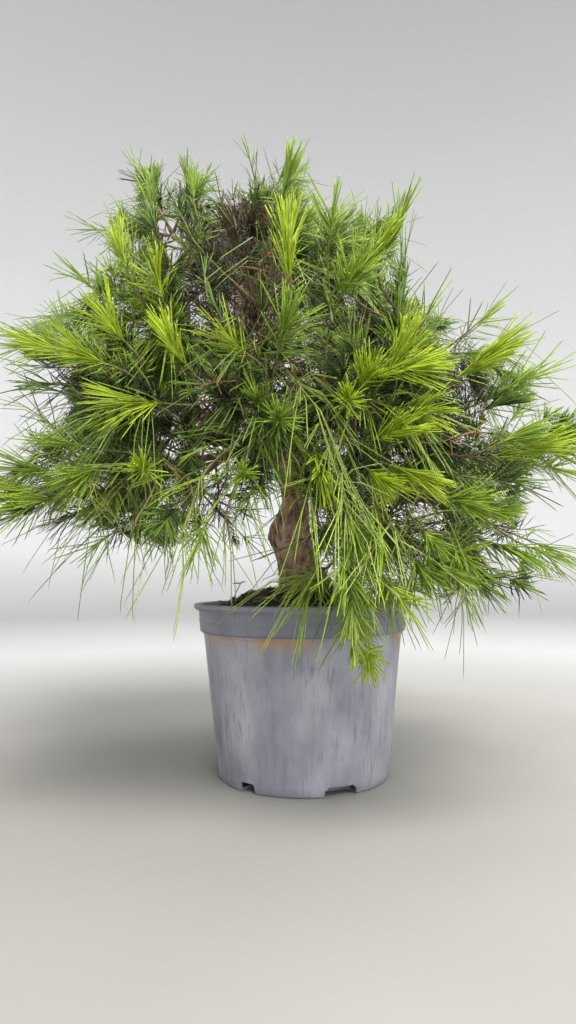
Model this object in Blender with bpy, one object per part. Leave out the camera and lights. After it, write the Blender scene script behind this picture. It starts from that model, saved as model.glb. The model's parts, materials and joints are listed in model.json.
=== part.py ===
"""A young Aleppo pine in its round nursery pot, in metres with +Z up.

The origin is the middle of the pot's flat underside, and the side that is seen faces -Y.
A bearing of 0 degrees points to +X (the right) and 90 to +Y (the back). An elevation is
measured up from the level.
"""

import math
import random

import bmesh
import bpy
import numpy as np

# Pot: a standard round nursery pot with a plain collar and a thin rolled lip
POT_HEIGHT = 0.130
POT_BASE_RADIUS = 0.0652
POT_WALL_TOP_RADIUS = 0.0772
POT_COLLAR_HEIGHT = 0.0216
POT_COLLAR_STEP = 0.0028
POT_COLLAR_FLARE = 0.0012
POT_LIP_RADIUS = 0.085
POT_LIP_HEIGHT = 0.0045
POT_WALL = 0.0016
POT_FLOOR = 0.0022
POT_EDGE = 0.0012
POT_ROUNDING = POT_COLLAR_STEP * 0.25
POT_SIDES = 48
NOTCH_COUNT = 6
NOTCH_FIRST_BEARING = 292.0
NOTCH_WIDTHS = (0.027, 0.014)
NOTCH_HEIGHT = 0.007
NOTCH_DEPTH = 0.013
NOTCH_TOP_SHARE = 0.86

# Soil: fills the pot, mounded up to a flat seat under the trunk
SOIL_EDGE_HEIGHT = 0.1245
SOIL_SEAT_HEIGHT = 0.1397
SOIL_SEAT_RADIUS = 0.029
SOIL_FOOT_RADIUS = 0.050
SOIL_FOOT_HEIGHT = 0.014
SOIL_SIDES = 36
SOIL_RINGS = 5
SOIL_RELIEF = 0.0016
SOIL_WAVES = (210.0, 90.0, 160.0, -70.0)

# Trunk: its centre line as (x, y, z) with the radius there, from the soil to the tip
TRUNK_LINE = (
    (0.002, 0.000, 0.1400, 0.0205),
    (-0.004, 0.000, 0.1630, 0.0158),
    (-0.008, 0.000, 0.1870, 0.0146),
    (-0.005, 0.000, 0.2120, 0.0108),
    (-0.011, 0.000, 0.2400, 0.0112),
    (-0.023, 0.000, 0.2820, 0.0096),
    (-0.040, 0.005, 0.3300, 0.0078),
    (-0.050, 0.010, 0.3750, 0.0060),
    (-0.047, 0.010, 0.4100, 0.0043),
    (-0.037, 0.008, 0.4390, 0.0024),
)
TRUNK_SIDES = 16
TRUNK_RINGS = 28
FLARE_HEIGHT = 0.016
FLARE_LOBES = 5
FLARE_DEPTH = 0.16
FLARE_TURN = 0.6
KNOB_BEARING = 186.0
KNOB_HEIGHT = 0.184
KNOB_REACH = 0.0062
KNOB_HALF_HEIGHT = 0.0055
KNOB_HALF_ANGLE = 24.0

# Boughs: name, height where it leaves the trunk, bearing, elevation, length, upward bow, base radius
BOUGHS = (
    ("bough_crown_left", 0.392, 183, 39, 0.075, 0.05, 0.0030),
    ("bough_upper_right", 0.383, 4, 23, 0.082, 0.06, 0.0032),
    ("bough_upper_front", 0.348, 287, 12, 0.048, 0.04, 0.0030),
    ("bough_left_shoulder", 0.318, 220, 10, 0.078, 0.08, 0.0034),
    ("bough_left_high", 0.300, 178, 8, 0.111, 0.08, 0.0036),
    ("bough_left_low", 0.250, 187, -11, 0.122, 0.06, 0.0038),
    ("bough_left_front", 0.272, 227, -8, 0.100, 0.08, 0.0036),
    ("bough_centre_front", 0.290, 269, -12, 0.088, 0.08, 0.0034),
    ("bough_right_front", 0.268, 307, 0, 0.106, 0.08, 0.0037),
    ("bough_hanging", 0.226, 300, -17, 0.087, 0.10, 0.0034),
    ("bough_right_shoulder", 0.328, 358, 2, 0.127, 0.08, 0.0037),
    ("bough_right_reach", 0.280, 352, -12, 0.149, 0.06, 0.0040),
    ("bough_right_low", 0.246, 347, -19, 0.135, 0.10, 0.0047),
    ("bough_back_left", 0.335, 131, 2, 0.090, 0.08, 0.0034),
    ("bough_back_left_low", 0.262, 136, -13, 0.115, 0.08, 0.0037),
    ("bough_back_right", 0.315, 41, 4, 0.120, 0.08, 0.0036),
    ("bough_back_right_low", 0.256, 43, -9, 0.132, 0.08, 0.0040),
)
BOUGH_TIP_RADIUS = 0.0018
BOUGH_SIDES = 6
BOUGH_RINGS = 6
TIP_DOME = 0.8
LEAVING_STEP = 0.002

# Foliage masses: name, the limb whose tip bears it, bearing, elevation, reach from that tip
MASSES = (
    ("needles_crown_right", "trunk", 346, 66, 0.080),
    ("needles_back_top", "trunk", 96, 18, 0.102),
    ("needles_crown_left", "bough_crown_left", 186, 68, 0.077),
    ("needles_crown_middle", "bough_crown_left", 342, 68, 0.070),
    ("needles_upper_left", "bough_crown_left", 157, 22, 0.088),
    ("needles_upper_right", "bough_upper_right", 340, 28, 0.090),
    ("needles_upper_right_back", "bough_upper_right", 67, 31, 0.107),
    ("needles_upper_front", "bough_upper_front", 240, 8, 0.098),
    ("needles_upper_right_front", "bough_upper_front", 318, 20, 0.110),
    ("needles_left_shoulder", "bough_left_shoulder", 212, 29, 0.084),
    ("needles_left_shoulder_front", "bough_left_shoulder", 275, -19, 0.106),
    ("needles_left_tip_high", "bough_left_high", 200, 17, 0.108),
    ("needles_left_back", "bough_left_high", 133, 4, 0.110),
    ("needles_left_low", "bough_left_low", 188, 14, 0.112),
    ("needles_left_under", "bough_left_low", 252, -61, 0.088),
    ("needles_left_front", "bough_left_front", 216, 3, 0.088),
    ("needles_left_low_front", "bough_left_front", 269, -31, 0.108),
    ("needles_centre_left_front", "bough_centre_front", 257, 22, 0.080),
    ("needles_centre_front_low", "bough_centre_front", 272, -27, 0.118),
    ("needles_right_front_high", "bough_right_front", 292, 22, 0.080),
    ("needles_right_front_star", "bough_right_front", 256, -15, 0.128),
    ("needles_right_front_low", "bough_right_front", 314, -41, 0.092),
    ("needles_centre_right_hang", "bough_hanging", 253, -1, 0.097),
    ("needles_pot_hanging", "bough_hanging", 270, -68, 0.115),
    ("needles_right_shoulder", "bough_right_shoulder", 165, 64, 0.096),
    ("needles_right_tip_high", "bough_right_shoulder", 341, -6, 0.116),
    ("needles_right_tip", "bough_right_reach", 339, 2, 0.112),
    ("needles_right_middle", "bough_right_reach", 34, -5, 0.120),
    ("needles_right_low_tip", "bough_right_low", 349, -25, 0.118),
    ("needles_right_under_front", "bough_right_low", 263, -51, 0.092),
    ("needles_right_under_back", "bough_right_low", 61, -32, 0.118),
    ("needles_back_left_high", "bough_back_left", 131, 36, 0.113),
    ("needles_back_left_middle", "bough_back_left", 93, -11, 0.115),
    ("needles_back_left_low", "bough_back_left_low", 154, -6, 0.112),
    ("needles_back_low", "bough_back_left_low", 74, -19, 0.110),
    ("needles_back_right_high", "bough_back_right", 52, 34, 0.111),
    ("needles_back_centre", "bough_back_right", 113, 8, 0.123),
    ("needles_back_right_middle", "bough_back_right_low", 30, 20, 0.116),
    ("needles_back_right_low", "bough_back_right_low", 84, -23, 0.110),
)

# Outline of the crown: a rounded form that leans to the left above its widest level
CROWN_CENTRE = (-0.004, -0.004, 0.270)
CROWN_HALF_WIDTH = 0.248
CROWN_HALF_DEPTH = 0.218
CROWN_RISE = 0.270
CROWN_DROP = 0.195
CROWN_LEAN = -0.28
CROWN_TOP_POWER = 1.5
CROWN_FOOT_POWER = 2.6
CROWN_TOP = 0.511

# Space of a mass, and how its shoots divide the distance they can reach
SPACE_RADIUS_SHARE = 0.80
SPACE_MARGIN = 0.0005
LEAST_REACH = 0.022
REACH_STEP = 0.98
STEM_KNEE = 0.005
STEM_SEARCH = (0.001, 0.012, 0.0001)
LEADER_STEM_SHARE = 0.34
LATERAL_STEM_SHARE = 0.26
LEADER_CORE = 0.015
LATERAL_CORE = 0.010
LATERAL_MOST_SHARE = 0.86
LATERAL_TIERS = ((0.30, 84.0, 3), (0.85, 52.0, 2))
LATERAL_BEND = 9.0
LATERAL_KNEE_SHARE = 0.55
LATERAL_SINK = 2.6
LEADER_LEANS = (66.0, 47.0, 27.0)
LATERAL_LEANS = (56.0, 30.0)

# Thickness of twigs, cores and needles, and how far apart they keep
STEM_FOOT_RADIUS = 0.0008
STEM_RADIUS = 0.0019
TWIG_FOOT_RADIUS = 0.0005
TWIG_RADIUS = 0.0011
CORE_RADIUS = 0.0014
CORE_END_RADIUS = 0.0009
NEEDLE_FOOT_RADIUS = 0.0011
LIMB_GAP = 0.0003
NEEDLE_GAP = 0.0004
NEEDLE_LENGTHS = (0.86, 1.06)
NEEDLE_LENGTH_TRIES = (1.0, 0.96, 0.90, 0.82, 0.72, 0.60)
NEEDLE_TURN = 13.0
NEEDLE_LEAN_TURN = 5.0
LATERAL_TRIES = 8
LATERAL_TRY_TURN = 12.0
LATERAL_TRY_LEAN = 5.0
NEIGHBOUR_RADII = 2.5

# Room that foliage leaves for the pot and its soil
POT_CLEAR_RADIUS = POT_LIP_RADIUS + 0.003
SOIL_CLEAR_HEIGHT = SOIL_SEAT_HEIGHT + 0.006

WELD = 0.000001
PARALLEL = 1e-16
POT_SMOOTH_ANGLE = 30.0
BARK_SMOOTH_ANGLE = 50.0


def clear_scene():
    for old in list(bpy.data.objects):
        bpy.data.objects.remove(old)


def make_material(name, colour, roughness):
    made = bpy.data.materials.new(name)
    made.use_nodes = True
    shader = made.node_tree.nodes["Principled BSDF"]
    shader.inputs["Base Color"].default_value = (*colour, 1.0)
    shader.inputs["Roughness"].default_value = roughness
    shader.inputs["Metallic"].default_value = 0.0
    made.diffuse_color = (*colour, 1.0)
    return made


def face_outwards(bm):
    bmesh.ops.recalc_face_normals(bm, faces=bm.faces)
    if bm.calc_volume(signed=True) < 0:
        bmesh.ops.reverse_faces(bm, faces=bm.faces)


def add_object(name, bm, material):
    face_outwards(bm)
    mesh = bpy.data.meshes.new(name)
    bm.to_mesh(mesh)
    bm.free()
    mesh.materials.append(material)
    made = bpy.data.objects.new(name, mesh)
    bpy.context.scene.collection.objects.link(made)
    return made


def shade_round(made, angle):
    made.data.shade_smooth()
    made.data.set_sharp_from_angle(angle=math.radians(angle))


def unit(vector):
    return vector / np.linalg.norm(vector)


def heading(bearing, elevation):
    flat = math.cos(math.radians(elevation))
    return np.array((
        flat * math.cos(math.radians(bearing)),
        flat * math.sin(math.radians(bearing)),
        math.sin(math.radians(elevation)),
    ))


def across(direction):
    """Two directions square to this one and to each other."""
    helper = np.array((0.0, 0.0, 1.0)) if abs(direction[2]) < 0.9 else np.array((1.0, 0.0, 0.0))
    side = unit(np.cross(helper, direction))
    return side, np.cross(direction, side)


def turned_away(direction, angle, turn):
    """The direction leant over by an angle, towards the side that the turn picks (degrees)."""
    side, over = across(direction)
    aside = side * math.cos(math.radians(turn)) + over * math.sin(math.radians(turn))
    return direction * math.cos(math.radians(angle)) + aside * math.sin(math.radians(angle))


def ring(centre, side, over, radius, sides, twist=0.0):
    turns = [math.tau * k / sides + twist for k in range(sides)]
    return [centre + radius * (side * math.cos(a) + over * math.sin(a)) for a in turns]


def add_ring(bm, points):
    return [bm.verts.new(tuple(point)) for point in points]


def bridge(bm, lower, upper):
    """Quads between two rings of as many points."""
    count = len(lower)
    for k in range(count):
        n = (k + 1) % count
        bm.faces.new((lower[k], lower[n], upper[n], upper[k]))


def bridge_twisted(bm, lower, upper):
    """Triangles between two rings, the upper one turned by half a step. Returns the faces."""
    count = len(lower)
    faces = []
    for k in range(count):
        n = (k + 1) % count
        faces.append(bm.faces.new((lower[k], lower[n], upper[k])))
        faces.append(bm.faces.new((lower[n], upper[n], upper[k])))
    return faces


def turned(profile, sides):
    """A closed mesh turned round Z from (radius, height) points that start and end on the axis."""
    bm = bmesh.new()
    points = [bm.verts.new((radius, 0.0, height)) for radius, height in profile]
    edges = [bm.edges.new(pair) for pair in zip(points, points[1:])]
    bmesh.ops.spin(
        bm, geom=points + edges, axis=(0, 0, 1), cent=(0, 0, 0), angle=math.tau, steps=sides, use_merge=True
    )
    bmesh.ops.remove_doubles(bm, verts=bm.verts, dist=WELD)
    bmesh.ops.dissolve_degenerate(bm, edges=bm.edges, dist=WELD)
    return bm


def wall_radius(height):
    """Outer radius of the pot's tapered wall."""
    top = POT_HEIGHT - POT_COLLAR_HEIGHT
    return POT_BASE_RADIUS + (POT_WALL_TOP_RADIUS - POT_BASE_RADIUS) * height / top


def collar_radii():
    foot = POT_WALL_TOP_RADIUS + POT_COLLAR_STEP
    return foot, foot + POT_COLLAR_FLARE


def pot_profile():
    collar_foot = POT_HEIGHT - POT_COLLAR_HEIGHT
    lip_foot = POT_HEIGHT - POT_LIP_HEIGHT
    foot, top = collar_radii()
    step = POT_ROUNDING
    return (
        (0.0, 0.0),
        (POT_BASE_RADIUS - POT_EDGE, 0.0),
        (wall_radius(POT_EDGE), POT_EDGE),
        (POT_WALL_TOP_RADIUS, collar_foot - step),
        (foot, collar_foot + step),
        (top, lip_foot),
        (POT_LIP_RADIUS - step, lip_foot + step),
        (POT_LIP_RADIUS, lip_foot + 2 * step),
        (POT_LIP_RADIUS, POT_HEIGHT - step),
        (POT_LIP_RADIUS - step, POT_HEIGHT),
        (top - POT_WALL + step, POT_HEIGHT),
        (top - POT_WALL, POT_HEIGHT - step),
        (foot - POT_WALL, collar_foot + POT_WALL),
        (POT_WALL_TOP_RADIUS - POT_WALL, collar_foot - POT_WALL),
        (wall_radius(POT_FLOOR) - POT_WALL, POT_FLOOR),
        (0.0, POT_FLOOR),
    )


def notch_cutter(bearing, width, holder):
    """A block across the pot's bottom corner, narrower at its top, kept out of the model."""
    bm = bmesh.new()
    bmesh.ops.create_cube(bm, size=1.0)
    middle = POT_BASE_RADIUS - NOTCH_DEPTH / 2 + POT_WALL
    for corner in bm.verts:
        above = corner.co.z > 0
        corner.co.x = middle + corner.co.x * (NOTCH_DEPTH + 4 * POT_WALL)
        corner.co.y *= width * (NOTCH_TOP_SHARE if above else 1.0)
        corner.co.z = NOTCH_HEIGHT if above else -NOTCH_HEIGHT
    mesh = bpy.data.meshes.new("notch_cutter")
    face_outwards(bm)
    bm.to_mesh(mesh)
    bm.free()
    cutter = bpy.data.objects.new("notch_cutter", mesh)
    cutter.rotation_euler = (0.0, 0.0, math.radians(bearing))
    cutter.hide_render = True
    cutter.display_type = "WIRE"
    holder.objects.link(cutter)
    return cutter


def make_pot(material):
    """A thin turned shell with feet between the notches round its bottom edge."""
    pot = add_object("pot", turned(pot_profile(), POT_SIDES), material)
    shade_round(pot, POT_SMOOTH_ANGLE)
    cutters = bpy.data.collections.new("pot_cutters")
    bpy.context.scene.collection.children.link(cutters)
    cutters.hide_render = True
    for k in range(NOTCH_COUNT):
        width = NOTCH_WIDTHS[k % len(NOTCH_WIDTHS)]
        notch_cutter(NOTCH_FIRST_BEARING + 360.0 * k / NOTCH_COUNT, width, cutters)
    cut = pot.modifiers.new("notches", "BOOLEAN")
    cut.operation = "DIFFERENCE"
    cut.operand_type = "COLLECTION"
    cut.collection = cutters
    cut.solver = "EXACT"


def soil_height(x, y):
    """Height of the soil: level at the rim, rising to the trunk's seat, with a little relief."""
    radius = math.hypot(x, y)
    edge = collar_radii()[0] - POT_WALL
    share = min(1.0, max(0.0, (edge - radius) / (edge - SOIL_SEAT_RADIUS)))
    rise = (SOIL_SEAT_HEIGHT - SOIL_EDGE_HEIGHT) * share * share * (3 - 2 * share)
    a, b, c, d = SOIL_WAVES
    relief = math.sin(a * x + b * y) * math.cos(c * y + d * x)
    return SOIL_EDGE_HEIGHT + rise + SOIL_RELIEF * relief * math.sin(math.pi * share)


def soil_profile():
    collar_foot = POT_HEIGHT - POT_COLLAR_HEIGHT
    gap = POT_WALL + LIMB_GAP * 1.4
    floor = POT_FLOOR + LIMB_GAP
    edge = collar_radii()[0] - gap
    rings = [
        (0.0, floor),
        (SOIL_FOOT_RADIUS, floor),
        (wall_radius(SOIL_FOOT_HEIGHT) - gap, SOIL_FOOT_HEIGHT),
        (POT_WALL_TOP_RADIUS - gap, collar_foot - POT_WALL + LIMB_GAP / 2),
        (edge, collar_foot + POT_WALL + LIMB_GAP),
        (edge, SOIL_EDGE_HEIGHT),
    ]
    for k in range(1, SOIL_RINGS + 1):
        rings.append((edge + (SOIL_SEAT_RADIUS - edge) * k / SOIL_RINGS, SOIL_SEAT_HEIGHT))
    rings.append((0.0, SOIL_SEAT_HEIGHT))
    return rings


def make_soil(material):
    bm = turned(soil_profile(), SOIL_SIDES)
    for corner in bm.verts:
        radius = math.hypot(corner.co.x, corner.co.y)
        if corner.co.z > SOIL_SEAT_HEIGHT - WELD and radius > SOIL_SEAT_RADIUS + WELD:
            corner.co.z = soil_height(corner.co.x, corner.co.y)
    bmesh.ops.triangulate(bm, faces=bm.faces)
    add_object("soil", bm, material)


def smooth_line(points, count):
    """Points evenly spread over a smooth curve through the given ones, radii carried along."""
    rows = np.array(points)
    ends = np.vstack((2 * rows[0] - rows[1], rows, 2 * rows[-1] - rows[-2]))
    out = []
    for share in np.linspace(0.0, len(rows) - 1.0, count):
        k = min(int(share), len(rows) - 2)
        t = share - k
        a, b, c, d = ends[k:k + 4]
        curve = 2 * b + (c - a) * t + (2 * a - 5 * b + 4 * c - d) * t * t + (3 * b - 3 * c + d - a) * t ** 3
        out.append(curve / 2)
    return np.array(out)


def trunk_radius(radius, height, angle):
    """The trunk's radius with its root flare's lobes and the stub of an old side shoot."""
    flare = math.exp(-(height - TRUNK_LINE[0][2]) / FLARE_HEIGHT)
    lobes = 1 + FLARE_DEPTH * flare * math.cos(FLARE_LOBES * angle + FLARE_TURN)
    turn = (math.degrees(angle) - KNOB_BEARING + 180.0) % 360.0 - 180.0
    knob = math.exp(-(turn / KNOB_HALF_ANGLE) ** 2 - ((height - KNOB_HEIGHT) / KNOB_HALF_HEIGHT) ** 2)
    return radius * lobes + KNOB_REACH * knob


def close_ends(bm, loops, line):
    """A flat face over a limb's first ring and a low dome over its last."""
    bm.faces.new(loops[0])
    dome = bmesh.ops.poke(bm, faces=[bm.faces.new(loops[-1])])["verts"][0]
    tip = line[-1][:3]
    dome.co = tip + TIP_DOME * line[-1][3] * unit(tip - line[-2][:3])


def make_trunk(material):
    """One whole stem from a level cut on the soil to its tip. Returns its centre line."""
    line = smooth_line(TRUNK_LINE, TRUNK_RINGS)
    bm = bmesh.new()
    loops = []
    for k, (x, y, z, radius) in enumerate(line):
        before, after = line[max(k - 1, 0)], line[min(k + 1, len(line) - 1)]
        along = unit(after[:3] - before[:3]) if k else np.array((0.0, 0.0, 1.0))
        side = unit(np.array((1.0, 0.0, 0.0)) - along * along[0])
        over = np.cross(along, side)
        points = []
        for n in range(TRUNK_SIDES):
            angle = math.tau * n / TRUNK_SIDES
            wide = trunk_radius(radius, z, angle)
            points.append(np.array((x, y, z)) + wide * (side * math.cos(angle) + over * math.sin(angle)))
        loops.append(add_ring(bm, points))
    for lower, upper in zip(loops, loops[1:]):
        bridge(bm, lower, upper)
    close_ends(bm, loops, line)
    shade_round(add_object("trunk", bm, material), BARK_SMOOTH_ANGLE)
    return line


def gaps_to(limbs, point):
    """Gap from a point to the surface of each tapered length of limb."""
    starts, ends = limbs[:, 0:3], limbs[:, 4:7]
    along = ends - starts
    share = np.clip(((point - starts) * along).sum(1) / (along * along).sum(1), 0.0, 1.0)
    nearest = starts + along * share[:, None]
    radius = limbs[:, 3] + (limbs[:, 7] - limbs[:, 3]) * share
    return np.linalg.norm(point - nearest, axis=1) - radius


def lengths_of(line):
    """A line of (x, y, z, radius) as rows of start, radius, end, radius."""
    return np.hstack((line[:-1], line[1:]))


def clear_of(limbs, start, end, start_radius, end_radius, gap):
    """True where a tapered rod from start to end keeps the gap to every length of limb."""
    if not len(limbs):
        return True
    rod = end - start
    starts, ends = limbs[:, 0:3], limbs[:, 4:7]
    along = ends - starts
    between = start - starts
    a = rod @ rod
    e = (along * along).sum(1)
    f = (along * between).sum(1)
    c = between @ rod
    b = along @ rod
    spread = a * e - b * b
    crossing = np.clip((b * f - c * e) / np.maximum(spread, PARALLEL), 0.0, 1.0)
    s = np.where(spread > PARALLEL, crossing, 0.0)
    t = (b * s + f) / e
    at_start = np.clip(-c / a, 0.0, 1.0)
    at_end = np.clip((b - c) / a, 0.0, 1.0)
    s = np.where(t < 0, at_start, np.where(t > 1, at_end, s))
    t = np.clip(t, 0.0, 1.0)
    apart = np.linalg.norm(between + rod * s[:, None] - along * t[:, None], axis=1)
    need = start_radius + (end_radius - start_radius) * s
    need = need + limbs[:, 3] + (limbs[:, 7] - limbs[:, 3]) * t + gap
    return bool((apart >= need).all())


def bough_line(start, bearing, elevation, length, bow, base_radius):
    """Centre line of a bough, bowed upwards, from the trunk's middle to its own tip."""
    end = start + heading(bearing, elevation) * length
    middle = (start + end) / 2 + np.array((0.0, 0.0, 2 * bow * length))
    rows = []
    for share in np.linspace(0.0, 1.0, 4 * BOUGH_RINGS):
        place = start * (1 - share) ** 2 + middle * 2 * share * (1 - share) + end * share * share
        radius = base_radius + (BOUGH_TIP_RADIUS - base_radius) * share
        rows.append((*place, radius))
    return np.array(rows)


def point_on(line, place):
    """The row of a line at a place counted in rows, part-way ones included."""
    k = min(int(place), len(line) - 2)
    return line[k] + (line[k + 1] - line[k]) * (place - k)


def cut_clear(line, trunk):
    """The line from where a full section first stands clear of the trunk."""
    for share in np.arange(0.0, 1.0, LEAVING_STEP):
        place = share * (len(line) - 1)
        k = int(place)
        row = point_on(line, place)
        along = unit(line[k + 1][:3] - line[k][:3])
        section = ring(row[:3], *across(along), row[3], 2 * BOUGH_SIDES)
        if min(gaps_to(trunk, point).min() for point in section + [row[:3]]) > LIMB_GAP * 1.2:
            rest = np.vstack((row, line[k + 1:]))
            places = np.linspace(0.0, len(rest) - 1.0, BOUGH_RINGS)
            return np.array([point_on(rest, place) for place in places])
    raise ValueError("a bough never leaves the trunk")


def make_bough(name, line, material):
    bm = bmesh.new()
    loops = []
    side = across(unit(line[1][:3] - line[0][:3]))[0]
    for k, row in enumerate(line):
        along = unit(line[min(k + 1, len(line) - 1)][:3] - line[max(k - 1, 0)][:3])
        side = unit(side - along * (side @ along))
        loops.append(add_ring(bm, ring(row[:3], side, np.cross(along, side), row[3], BOUGH_SIDES)))
    for lower, upper in zip(loops, loops[1:]):
        bridge(bm, lower, upper)
    close_ends(bm, loops, line)
    shade_round(add_object(name, bm, material), BARK_SMOOTH_ANGLE)


def spaces_of(tips):
    """For each mass: its tip of limb, heading, reach, and the ball that bounds its space."""
    spaces = {}
    for name, limb, bearing, elevation, reach in MASSES:
        along = heading(bearing, elevation)
        spaces[name] = {
            "foot": tips[limb],
            "along": along,
            "reach": reach,
            "centre": tips[limb] + along * reach / 2,
            "radius": reach * SPACE_RADIUS_SHARE,
            "walls": [],
        }
    for name, space in spaces.items():
        for other, beside in spaces.items():
            apart = beside["centre"] - space["centre"]
            distance = np.linalg.norm(apart)
            if other == name or distance > space["radius"] + beside["radius"]:
                continue
            if np.allclose(space["foot"], beside["foot"]):
                normal = unit(beside["along"] - space["along"])
                limit = normal @ space["foot"]
            else:
                normal = apart / distance
                lead = (space["reach"] ** 2 - beside["reach"] ** 2) / 4
                limit = normal @ space["centre"] + (distance ** 2 + lead) / (2 * distance)
            space["walls"].append((normal, limit - SPACE_MARGIN))
    return spaces


def in_crown(point):
    """True inside the crown's outline."""
    x, y, z = point - np.array(CROWN_CENTRE)
    above = z > 0
    shift = CROWN_LEAN * z if above else 0.0
    level = abs(z) / (CROWN_RISE if above else CROWN_DROP)
    out = math.hypot((x - shift) / CROWN_HALF_WIDTH, y / CROWN_HALF_DEPTH)
    power = CROWN_TOP_POWER if above else CROWN_FOOT_POWER
    return point[2] < CROWN_TOP and out ** power + level ** power < 1.0


def in_space(space, point):
    """True inside a mass's ball, the crown and the walls that part it from its neighbours."""
    if np.linalg.norm(point - space["centre"]) > space["radius"]:
        return False
    return in_crown(point) and all(normal @ point <= offset for normal, offset in space["walls"])


def clear_of_pot(start, end):
    """True where a straight run stays off the pot's rim and the soil in it."""
    for share in (0.25, 0.5, 0.75, 1.0):
        x, y, z = start + (end - start) * share
        if z < SOIL_CLEAR_HEIGHT and math.hypot(x, y) < POT_CLEAR_RADIUS:
            return False
    return True


def reach_along(space, start, along):
    """How far a line from start runs before it leaves the space."""
    offset = start - space["centre"]
    b = offset @ along
    root = b * b - (offset @ offset - space["radius"] ** 2)
    if root <= 0:
        return 0.0
    far = -b + math.sqrt(root)
    for normal, limit in space["walls"]:
        rate = normal @ along
        if rate > 1e-9:
            far = min(far, (limit - normal @ start) / rate)
    while far > LEAST_REACH and not in_crown(start + along * far):
        far *= REACH_STEP
    return far


def stem_foot(space, limbs, others):
    """Where a stem starts, just clear of the limb's tip and of the stems beside it."""
    side, over = across(space["along"])
    for step in np.arange(*STEM_SEARCH):
        start = space["foot"] + space["along"] * step
        section = ring(start, side, over, STEM_FOOT_RADIUS, 6)
        if min(gaps_to(limbs, point).min() for point in section) < LIMB_GAP * 1.1:
            continue
        knee = start + space["along"] * STEM_KNEE
        if clear_of(others, start, knee, STEM_FOOT_RADIUS, STEM_RADIUS, LIMB_GAP * 1.1):
            return start
    raise ValueError("no room for a stem")


def plan_leader(space, start):
    """The main shoot of a mass: a stem, then a core with needles, straight along its heading."""
    along = space["along"]
    left = space["reach"] - np.linalg.norm(start - space["foot"])
    reach = min(left, reach_along(space, start, along))
    stem = reach * LEADER_STEM_SHARE
    return {
        "line": [start, start + along * STEM_KNEE, start + along * stem],
        "radii": [STEM_FOOT_RADIUS, STEM_RADIUS, STEM_RADIUS],
        "core": (start + along * stem, start + along * (stem + LEADER_CORE)),
        "needle": reach - stem - LEADER_CORE,
        "leans": LEADER_LEANS,
    }


def plan_lateral(space, leader, share, lean, turn, solid):
    """A side shoot from the leader's stem, or None where it has no room."""
    foot = leader["line"][0] + (leader["line"][-1] - leader["line"][0]) * share
    out = turned_away(space["along"], lean + LATERAL_BEND, turn)
    end_way = turned_away(space["along"], lean - LATERAL_BEND, turn)
    room = reach_along(space, foot, turned_away(space["along"], lean, turn))
    reach = min(room, space["reach"] * LATERAL_MOST_SHARE)
    if reach < LEAST_REACH:
        return None
    twig = reach * LATERAL_STEM_SHARE
    knee = foot + out * twig * LATERAL_KNEE_SHARE
    twig_end = knee + unit(out + end_way) * twig * (1 - LATERAL_KNEE_SHARE)
    core_end = twig_end + end_way * LATERAL_CORE
    clear_start = foot + out * LATERAL_SINK * STEM_RADIUS
    runs = (
        (clear_start, knee, TWIG_RADIUS),
        (knee, twig_end, TWIG_RADIUS),
        (twig_end, core_end, CORE_RADIUS),
    )
    for a, b, radius in runs:
        if np.linalg.norm(b - a) < TWIG_FOOT_RADIUS:
            return None
        if not clear_of(solid, a, b, radius, radius, 4 * LIMB_GAP) or not clear_of_pot(a, b):
            return None
    if not in_space(space, core_end):
        return None
    return {
        "line": [foot, clear_start, knee, twig_end],
        "radii": [TWIG_FOOT_RADIUS, TWIG_RADIUS, TWIG_RADIUS, TWIG_RADIUS],
        "core": (twig_end, core_end),
        "needle": reach - twig - LATERAL_CORE,
        "leans": LATERAL_LEANS,
    }


def shoot_rows(shoot):
    """The shoot's wood as rows of start, radius, end, radius."""
    places = [*shoot["line"], shoot["core"][1]]
    radii = [*shoot["radii"], CORE_RADIUS]
    return lengths_of(np.array([(*place, radius) for place, radius in zip(places, radii)]))


def core_rings(shoot):
    """Three-sided rings along the shoot, each core ring turned by half a step."""
    rings = []
    line = shoot["line"]
    first = unit(line[1] - line[0])
    side = across(first)[0]
    for k, place in enumerate(line):
        along = unit((line[k + 1] if k + 1 < len(line) else shoot["core"][1]) - line[max(k - 1, 0)])
        side = unit(side - along * (side @ along))
        rings.append(ring(place, side, np.cross(along, side), shoot["radii"][k], 3))
    start, end = shoot["core"]
    along = unit(end - start)
    side = unit(side - along * (side @ along))
    bands = len(shoot["leans"])
    for k in range(1, bands + 1):
        radius = CORE_RADIUS if k < bands else CORE_END_RADIUS
        place = start + (end - start) * k / bands
        rings.append(ring(place, side, np.cross(along, side), radius, 3, math.pi / 3 * k))
    return rings, along


def outward(foot, axis, along):
    """The way from a core's axis out to a needle's foot, square to the core."""
    out = foot - axis
    return unit(out - along * (out @ along))


def plan_needle(space, rng, foot, along, out, lean, length, solid):
    """The tip of a needle that keeps clear of everything, or None."""
    over = np.cross(along, out)
    for share in NEEDLE_LENGTH_TRIES:
        turn = math.radians(rng.uniform(-NEEDLE_TURN, NEEDLE_TURN))
        tilt = math.radians(lean + rng.uniform(-NEEDLE_LEAN_TURN, NEEDLE_LEAN_TURN))
        aside = out * math.cos(turn) + over * math.sin(turn)
        tip = foot + (along * math.cos(tilt) + aside * math.sin(tilt)) * length * share
        if not in_space(space, tip) or not clear_of_pot(foot, tip):
            continue
        if clear_of(solid, foot, tip, NEEDLE_FOOT_RADIUS, 0.0, NEEDLE_GAP):
            return tip
    return None


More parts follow.
